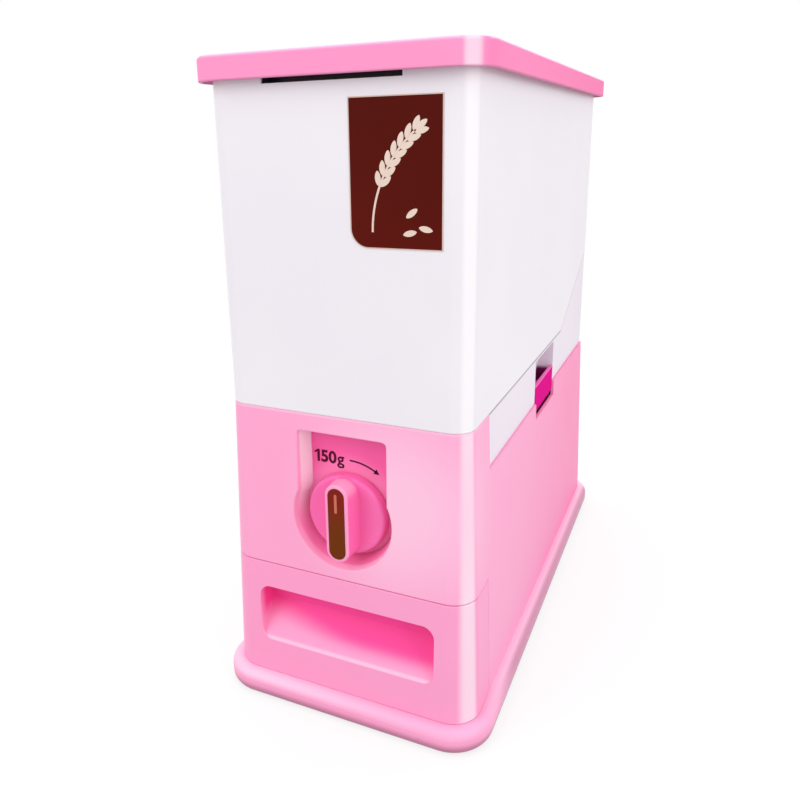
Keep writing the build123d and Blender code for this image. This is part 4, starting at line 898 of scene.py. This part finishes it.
@dataclass
class Label(Assembly):
    """Label film on the hopper front, printed with an ear of grain and three loose grains (x, z and angle)."""

    skins: Skins = (("front_label", LABEL),)
    face_y: float = -207.9
    ink: float = 0.1
    layer: float = 0.015
    root: Tuple[float, float] = (27.0, 355.0)
    stem_radius: float = 76.0
    stem_sweep: float = 50.0
    stem_width: float = 1.3
    stem_steps: int = 24
    grains: int = 7
    first_grain: float = 0.42
    tip_grain: float = 1.02
    grain_length: float = 8.8
    grain_width: float = 3.7
    grain_sides: int = 20
    grain_point: float = 0.2
    grain_splay: float = 26.0
    grain_gap: float = 0.8
    loose: Tuple[Corner, ...] = ((49.0, 364.0, 38.0), (57.0, 358.5, -12.0), (47.0, 354.0, 12.0))

    def build(self) -> None:
        """Dresses the film and prints it."""
        super().build()
        splay = math.radians(self.grain_splay)
        places: List[Tuple[Vector, float]] = []
        for count in range(self.grains):
            share = self.first_grain + (1.0 - self.first_grain) * count / (self.grains - 1)
            point, angle = self.along(share)
            aside = Vector((-math.sin(angle), math.cos(angle), 0.0)) * self.grain_gap
            places += [(point - aside, angle - splay), (point + aside, angle + splay)]
        places.append(self.along(self.tip_grain))
        places += [(Vector((x, z, 0.0)), math.radians(angle)) for x, z, angle in self.loose]
        bm = bmesh.new()
        self.stem(bm)
        for layer, (point, angle) in enumerate(places, 1):
            self.grain(bm, point, angle, self.ink + layer * self.layer)
        settle(bm, "label_print", LABEL_PRINT, Body.HOUSING)

    def along(self, share: float) -> Tuple[Vector, float]:
        """A point of the stem, which rises from its root and bows over to the right.

        Args:
            share: share of the stem, 0 at its root.

        Returns:
            The point in the label's plane and the stem's direction there in radians.
        """
        turn = math.radians(self.stem_sweep) * share
        bend = Vector((1.0 - math.cos(turn), math.sin(turn), 0.0)) * self.stem_radius
        return Vector((*self.root, 0.0)) + bend, math.pi / 2 - turn

    def press(self, bm: Mesh, verts: Iterable[Vert], place: Matrix, ink: float) -> None:
        """Gives a flat shape its ink thickness and sets it on the film.

        Args:
            bm: the print's mesh.
            verts: the vertices of the flat shape.
            place: where it lies in the label's plane, in millimetres.
            ink: its thickness in millimetres; shapes that overlap differ, so that no two faces coincide.
        """
        flat = list(verts)
        top = raised(bm, {face for vert in flat for face in vert.link_faces}, ink)
        bmesh.ops.transform(bm, matrix=upright(self.face_y) @ place, verts=flat + top)

    def grain(self, bm: Mesh, point: Vector, angle: float, ink: float) -> None:
        """One grain, a slim pointed oval.

        Args:
            bm: the print's mesh.
            point: its lower tip in the label's plane.
            angle: its direction in radians.
            ink: its thickness in millimetres.
        """
        oval = bmesh.ops.create_circle(bm, cap_ends=True, segments=self.grain_sides, radius=0.5)["verts"]
        for vert in oval:
            vert.co.y *= (1.0 - min(4.0 * vert.co.x * vert.co.x, 1.0)) ** self.grain_point
        size = Matrix.Diagonal((self.grain_length, self.grain_width, 1.0, 1.0))
        shift = Matrix.Translation((0.5 * self.grain_length, 0.0, 0.0))
        self.press(bm, oval, Matrix.Translation(point) @ Matrix.Rotation(angle, 4, "Z") @ shift @ size, ink)

    def stem(self, bm: Mesh) -> None:
        """Spins a narrow band along the stem's bow.

        Args:
            bm: the print's mesh, still empty.
        """
        foot = Vector((*self.root, 0.0))
        half = Vector((self.stem_width / 2, 0.0, 0.0))
        ends = [bm.verts.new(foot - half), bm.verts.new(foot + half)]
        line = [*ends, bm.edges.new(ends)]
        centre = foot + Vector((self.stem_radius, 0.0, 0.0))
        sweep = math.radians(self.stem_sweep)
        bmesh.ops.spin(bm, geom=line, cent=centre, axis=(0, 0, -1), angle=sweep, steps=self.stem_steps)
        bmesh.ops.recalc_face_normals(bm, faces=bm.faces)
        self.press(bm, bm.verts, Matrix.Identity(4), self.ink)


@dataclass
class Lid(Assembly):
    """Hinged pink lid."""

    skins: Skins = (("lid", LID_PINK),)


@dataclass
class Dial(Assembly):
    """Dished knob with its grip bar and brown strip, the plate behind it and the plate's print."""

    skins: Skins = (("dial_plate", PLATE), ("knob_insert", INSERT))
    back_y: float = -194.7
    radius: float = 29.5
    foot_cut: float = 0.8
    edge: float = 5.8
    rim_round: float = 2.5
    rim_steps: int = 6
    face: float = 8.3
    dish: float = 2.0
    dish_rings: Tuple[float, ...] = (0.85, 0.6, 0.3, 0.0)
    spin_steps: int = 96
    knob_merge: float = 0.001
    knob_sharp: float = 40.0
    bar_length: float = 58.0
    bar_width: float = 17.2
    bar_foot_width: float = 20.5
    bar_foot: float = 5.0
    bar_top: float = 22.3
    bar_round: float = 1.3
    bar_round_steps: int = 4
    bar_sides: int = 48
    strip_rim: float = 2.3
    strip_depth: float = 1.2
    pointer_size: Corner = (2.0, 14.0, 0.5)
    pointer_place: float = 15.6
    pointer_lift: float = 0.5
    pointer_round: float = 0.95
    pointer_round_steps: int = 5
    plate_y: float = -194.1
    ink: float = 0.12
    figure_size: float = 12.4
    figure_weight: float = 0.38
    figure_gap: float = 1.0
    flag_size: Tuple[float, float] = (3.4, 1.3)
    flag_place: Tuple[float, float] = (-0.7, -1.6)
    flag_lean: float = 38.0
    flag_ink: float = 0.9
    unit_weight: float = 0.22
    unit_gap: float = 0.4
    number_place: Tuple[float, float] = (-25.5, 34.0)
    print_merge: float = 0.0005
    arrow_radius: float = 38.0
    arrow_sweep: float = 32.0
    arrow_half_width: float = 0.6
    arrow_head: float = 2.6
    arrow_steps: int = 20

    def build(self) -> None:
        """Dresses the plate and the strip, and makes the knob, its pointer and the plate's print."""
        super().build()
        self.knob()
        self.pointer()
        self.number()
        self.arrow()

    def knob(self) -> None:
        """Spins the dished disc and raises the drafted bar on it."""
        bm = bmesh.new()
        inner = self.radius - self.rim_round
        profile = [(0.0, 0.0), (self.radius - self.foot_cut, 0.0)]
        profile += [(self.radius, self.foot_cut), (self.radius, self.edge)]
        for step in range(1, self.rim_steps + 1):
            turn = math.pi / 2 * step / self.rim_steps
            height = self.face - self.rim_round * (1 - math.sin(turn))
            profile.append((inner + self.rim_round * math.cos(turn), height))
        profile += [(inner * ring, self.face - self.dish * (1 - ring * ring)) for ring in self.dish_rings]
        line = [bm.verts.new((reach, 0.0, height)) for reach, height in profile]
        edges = [bm.edges.new(pair) for pair in zip(line, line[1:])]
        bmesh.ops.spin(
            bm, geom=line + edges, cent=(0, 0, 0), axis=(0, 0, 1), angle=math.tau, steps=self.spin_steps, use_merge=True
        )
        bmesh.ops.remove_doubles(bm, verts=bm.verts, dist=self.knob_merge)
        bmesh.ops.recalc_face_normals(bm, faces=bm.faces)
        self.bar(bm)
        bmesh.ops.transform(bm, matrix=upright(self.back_y, DIAL_Z), verts=bm.verts)
        crease(bm, self.knob_sharp)
        even_shading(settle(bm, "knob_grip", KNOB, Body.DIAL, ("knob",)))

    def bar(self, bm: Mesh) -> None:
        """Adds the bar: a drafted block with round ends and a recess for the strip.

        Args:
            bm: the knob's mesh, in millimetres about its axis.
        """
        start = Matrix.Rotation(math.pi / self.bar_sides, 4, "Z")
        foot = bmesh.ops.create_circle(bm, cap_ends=True, segments=self.bar_sides, radius=0.5, matrix=start)["verts"]
        reach = (self.bar_length - self.bar_width) / 2
        for vert in foot:
            vert.co.x *= self.bar_foot_width
            vert.co.y = vert.co.y * self.bar_width + math.copysign(reach, vert.co.y)
            vert.co.z = self.bar_foot
        top = raised(bm, [spanned(foot)], self.bar_top - self.bar_foot)
        for vert in top:
            vert.co.x *= self.bar_width / self.bar_foot_width
        shell = {face for vert in [*foot, *top] for face in vert.link_faces}
        bmesh.ops.recalc_face_normals(bm, faces=list(shell))
        rounded(bm, list(spanned(top).edges), self.bar_round, self.bar_round_steps)
        crown = max(bm.faces, key=lambda face: face.calc_center_median().z)
        bmesh.ops.inset_region(bm, faces=[crown], thickness=self.strip_rim - self.bar_round, use_even_offset=True)
        raised(bm, [crown], -self.strip_depth)
        bmesh.ops.delete(bm, geom=[crown], context="FACES_ONLY")

    def pointer(self) -> None:
        """Makes the tan pointer line on the upper third of the strip."""
        bm = bmesh.new()
        bmesh.ops.create_cube(bm, size=1.0)
        bmesh.ops.transform(bm, matrix=Matrix.Diagonal((*self.pointer_size, 1.0)), verts=bm.verts)
        edges = [edge for edge in bm.edges if edge.verts[0].co.z != edge.verts[1].co.z]
        rounded(bm, edges, self.pointer_round, self.pointer_round_steps)
        place = Matrix.Translation((0.0, self.pointer_place, self.bar_top + self.pointer_lift))
        bmesh.ops.transform(bm, matrix=upright(self.back_y, DIAL_Z) @ place, verts=bm.verts)
        crease(bm, self.knob_sharp)
        settle(bm, "pointer_line", POINTER, Body.DIAL)

    def figures(self, bm: Mesh, body: str, weight: float, start: float) -> float:
        """Adds a piece of text to the print.

        Args:
            bm: the print's mesh, in millimetres.
            body: the text.
            weight: how far its outline is thickened.
            start: where its left edge lies.

        Returns:
            Where its right edge lies.
        """
        text = bpy.data.curves.new("dial_number", "FONT")
        text.body, text.size, text.offset, text.extrude = body, self.figure_size, weight, self.ink / 2
        holder = bpy.data.objects.new("dial_number_outline", text)
        count = len(bm.verts)
        bm.from_mesh(bpy.data.meshes.new_from_object(holder))
        bpy.data.objects.remove(holder)
        bm.verts.ensure_lookup_table()
        fresh = bm.verts[count:]
        left = min(vert.co.x for vert in fresh)
        bmesh.ops.translate(bm, verts=fresh, vec=(start - left, 0.0, 0.0))
        return max(vert.co.x for vert in fresh)

    def number(self) -> None:
        """Prints the measure: bold figures, a flag on the first, and the unit."""
        bm = bmesh.new()
        right = self.figures(bm, "1", self.figure_weight, 0.0)
        top = max(vert.co.y for vert in bm.verts)
        flag = bmesh.ops.create_cube(bm, size=1.0)["verts"]
        across, down = self.flag_place
        lean = Matrix.Translation((across, top + down, 0.0)) @ Matrix.Rotation(math.radians(self.flag_lean), 4, "Z")
        size = Matrix.Diagonal((*self.flag_size, self.flag_ink * self.ink, 1.0))
        bmesh.ops.transform(bm, matrix=lean @ size, verts=flag)
        right = self.figures(bm, "50", self.figure_weight, right + self.figure_gap)
        self.figures(bm, "g", self.unit_weight, right + self.unit_gap)
        bmesh.ops.remove_doubles(bm, verts=bm.verts, dist=self.print_merge)
        place = Matrix.Translation((*self.number_place, self.ink / 2))
        bmesh.ops.transform(bm, matrix=upright(self.plate_y, DIAL_Z) @ place, verts=bm.verts)
        settle(bm, "dial_number", DIAL_PRINT, Body.HOUSING)

    def arrow(self) -> None:
        """Prints the arrow that shows the way to turn."""
        bm = bmesh.new()
        half = self.arrow_half_width
        ends = [bm.verts.new((0.0, self.arrow_radius + offset, 0.0)) for offset in (-half, half)]
        line = [*ends, bm.edges.new(ends)]
        sweep = math.radians(self.arrow_sweep)
        bmesh.ops.spin(bm, geom=line, cent=(0, 0, 0), axis=(0, 0, -1), angle=sweep, steps=self.arrow_steps)
        head = bmesh.ops.create_circle(bm, cap_ends=True, segments=3, radius=self.arrow_head)["verts"]
        tip = Matrix.Translation((0.0, self.arrow_radius, 0.0)) @ Matrix.Rotation(-math.pi / 2, 4, "Z")
        bmesh.ops.transform(bm, matrix=Matrix.Rotation(-sweep, 4, "Z") @ tip, verts=head)
        bmesh.ops.recalc_face_normals(bm, faces=bm.faces)
        raised(bm, bm.faces, self.ink)
        bmesh.ops.recalc_face_normals(bm, faces=bm.faces)
        bmesh.ops.transform(bm, matrix=upright(self.plate_y, DIAL_Z), verts=bm.verts)
        settle(bm, "dial_arrow", DIAL_PRINT, Body.HOUSING)


@dataclass
class Drawer(Assembly):
    """Drawer front with its finger scoop, and the tray behind it."""

    skins: Skins = (("drawer_tray", TRAY),)
    half_width: float = 69.3
    low: float = 45.5
    high: float = 91.5
    rim_round: float = 2.4
    rim_steps: int = 5
    rim_angle: float = 15.0
    flat_angle: float = 0.4
    on_face: float = 0.05

    def build(self) -> None:
        """Softens the scoop's rim and dresses the drawer."""
        self.skin("drawer_front", DRAWER, self.soften)
        super().build()

    def on_rim(self, vert: Vert) -> bool:
        """Whether a vertex lies on the scoop's outer rim."""
        x, y, z = (value / MM for value in vert.co)
        return abs(FRONT_WALL.sunk(y, z)) < self.on_face and abs(x) < self.half_width and self.low < z < self.high

    def soften(self, bm: Mesh) -> None:
        """Joins flat triangles and rounds the scoop's rim.

        Args:
            bm: the merged copy of the drawer front.
        """
        flat = math.radians(self.flat_angle)
        bmesh.ops.dissolve_limit(bm, angle_limit=flat, use_dissolve_boundaries=False, verts=bm.verts, edges=bm.edges)
        bend = math.radians(self.rim_angle)
        rim = [
            edge
            for edge in bm.edges
            if all(self.on_rim(vert) for vert in edge.verts) and edge.is_manifold and edge.calc_face_angle(0.0) > bend
        ]
        LOG.info("scoop rim: %d edges", len(rim))
        rounded(bm, rim, self.rim_round * MM, self.rim_steps, clamp=True)


@dataclass
class Works(Assembly):
    """Inner pieces that keep their CAD shape."""

    def build(self) -> None:
        """Dresses every CAD node that still shows as it is."""
        finishes = {Slot.INNER_PLASTIC: INNER, Slot.BUSH: BUSH, Slot.SEAL: SEAL, Slot.STEEL: STEEL}
        for node, item in sorted(frame["nodes"].items()):
            if item.hide_render:
                continue
            finish = finishes[Slot(slot_of(node))]
            if not item.material_slots:
                item.data.materials.append(finish.material())
            for place in item.material_slots:
                place.material = finish.material()
            LOG.info("%s keeps its CAD shape in %s", node, finish.name)


# ---- studio


@dataclass
class Softbox:
    """A large soft lamp; level is the share of plain white that it gives a surface facing it at the aim."""

    name: str
    place: Corner
    width: float
    height: float
    level: float
    aim: Corner = (0.0, 0.0, 230.0)

    def build(self) -> None:
        """Hangs the lamp."""
        lamp = bpy.data.lights.new(self.name, "AREA")
        lamp.shape = "RECTANGLE"
        lamp.size, lamp.size_y = self.width * MM, self.height * MM
        towards = in_metres(self.aim) - in_metres(self.place)
        lamp.energy = self.level * math.pi**2 * towards.length_squared
        item = bpy.data.objects.new(self.name, lamp)
        item.location = in_metres(self.place)
        item.rotation_mode = "QUATERNION"
        item.rotation_quaternion = towards.to_track_quat("-Z", "Y")
        bpy.context.scene.collection.objects.link(item)


SOFTBOXES = (
    Softbox("front_left_softbox", (-1300.0, -1700.0, 1500.0), 1600.0, 1600.0, 0.28),
    Softbox("right_softbox", (1900.0, -700.0, 1200.0), 1500.0, 1500.0, 0.22),
    Softbox("top_softbox", (0.0, 100.0, 2400.0), 2000.0, 2000.0, 0.18),
    Softbox("back_softbox", (-500.0, 2100.0, 1300.0), 1600.0, 1600.0, 0.2),
    Softbox("corner_strip", (1250.0, -900.0, 420.0), 260.0, 1200.0, 0.08),
)


@dataclass
class Studio:
    """Camera, pale floor, white surround and lamps."""

    camera_place: Corner = (217.5, -624.2, 409.1)
    azimuth: float = 24.98
    elevation: float = 15.64
    roll: float = -1.15
    lens: float = 33.84
    sensor: float = 36.0
    shift: Tuple[float, float] = (0.0375, -0.0625)
    clip: Tuple[float, float] = (10.0, 100000.0)
    white: Paint = Paint(255, 255, 255)
    ambient: float = 0.82
    floor_radius: float = 6000.0
    floor_sides: int = 96
    floor_drop: float = 0.3
    floor_fade: Span = (500.0, 1500.0)
    floor_tone: float = 0.5
    floor_glow: float = 0.75

    def build(self) -> None:
        """Sets up the camera, the surround, the floor and the lamps."""
        bpy.context.scene.view_settings.view_transform = "Standard"
        self.camera()
        self.surround()
        self.floor()
        for softbox in SOFTBOXES:
            softbox.build()

    def camera(self) -> None:
        """Places the camera at the viewing angle."""
        data = bpy.data.cameras.new("camera")
        data.lens, data.sensor_width = self.lens, self.sensor
        data.shift_x, data.shift_y = self.shift
        data.clip_start, data.clip_end = (distance * MM for distance in self.clip)
        az, el, roll = (math.radians(v) for v in (self.azimuth, self.elevation, self.roll))
        back = Vector((math.sin(az) * math.cos(el), -math.cos(az) * math.cos(el), math.sin(el)))
        right = Vector((0.0, 0.0, 1.0)).cross(back).normalized()
        up = back.cross(right)
        right, up = right * math.cos(roll) + up * math.sin(roll), up * math.cos(roll) - right * math.sin(roll)
        turn = Matrix((right, up, back)).transposed().to_4x4()
        item = bpy.data.objects.new("camera", data)
        item.matrix_world = Matrix.Translation(in_metres(self.camera_place)) @ turn
        bpy.context.scene.collection.objects.link(item)
        bpy.context.scene.camera = item

    @staticmethod
    def seen(graph: Graph) -> Signal:
        """1 for rays that show the background: camera, glossy and transmission rays.

        Args:
            graph: the graph of the surround or the floor.

        Returns:
            The signal.
        """
        path = graph.add("ShaderNodeLightPath").socket.node
        names = ("Is Camera Ray", "Is Glossy Ray", "Is Transmission Ray")
        camera, glossy, through = (Signal(graph, path.outputs[name]) for name in names)
        return camera.highest(glossy).highest(through)

    def surround(self) -> None:
        """White surround that lights the object at a plain level."""
        world = bpy.data.worlds.new("white_surround")
        world.use_nodes = True
        graph = Graph(world.node_tree)
        strength = self.ambient + self.seen(graph) * (1.0 - self.ambient)
        sky = graph.add("ShaderNodeBackground", None, {"Color": self.white, "Strength": strength})
        graph.add("ShaderNodeOutputWorld", None, {"Surface": sky})
        bpy.context.scene.world = world

    def floor(self) -> None:
        """Pale floor that keeps the shadow and melts into the surround."""
        bm = bmesh.new()
        bmesh.ops.create_circle(bm, cap_ends=True, segments=self.floor_sides, radius=self.floor_radius * MM)
        bmesh.ops.translate(bm, verts=bm.verts, vec=(0.0, 0.0, -self.floor_drop * MM))
        mesh = bpy.data.meshes.new("floor")
        bm.to_mesh(mesh)
        bm.free()
        mesh.materials.append(self.floor_paint())
        item = bpy.data.objects.new("floor", mesh)
        bpy.context.scene.collection.objects.link(item)

    def floor_paint(self) -> bpy.types.Material:
        """The floor's material.

        Returns:
            A pale diffuse that is white where it is seen, and clear far from the object.
        """
        made = bpy.data.materials.new("pale_floor")
        made.use_nodes = True
        graph = Graph(made.node_tree)
        at = Spot(graph)
        seen = self.seen(graph)
        far = at.x.reach(at.y).rise(*self.floor_fade)
        pale = graph.add("ShaderNodeBsdfDiffuse", None, {"Color": (*[self.floor_tone] * 3, 1.0)})
        shaded = graph.add("ShaderNodeBsdfDiffuse", None, {"Color": self.white})
        white = graph.add("ShaderNodeEmission", None, {"Color": self.white, "Strength": 1.0})
        shown = graph.add("ShaderNodeMixShader", None, {0: self.floor_glow, 1: shaded, 2: white})
        near = graph.add("ShaderNodeMixShader", None, {0: seen, 1: pale, 2: shown})
        clear = graph.add("ShaderNodeBsdfTransparent")
        melt = graph.add("ShaderNodeMixShader", None, {0: far * seen, 1: near, 2: clear})
        graph.add("ShaderNodeOutputMaterial", None, {"Surface": melt})
        return made


def main() -> None:
    """Builds the dispenser piece by piece, then the studio."""
    logging.basicConfig(level=logging.INFO, format="%(name)s: %(message)s")
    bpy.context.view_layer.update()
    for assembly in (Foot(), Shell(), Hopper(), Label(), Lid(), Dial(), Drawer(), Works()):
        LOG.info("building %s", type(assembly).__name__)
        assembly.build()
    Studio().build()


if __name__ == "__main__":
    main()
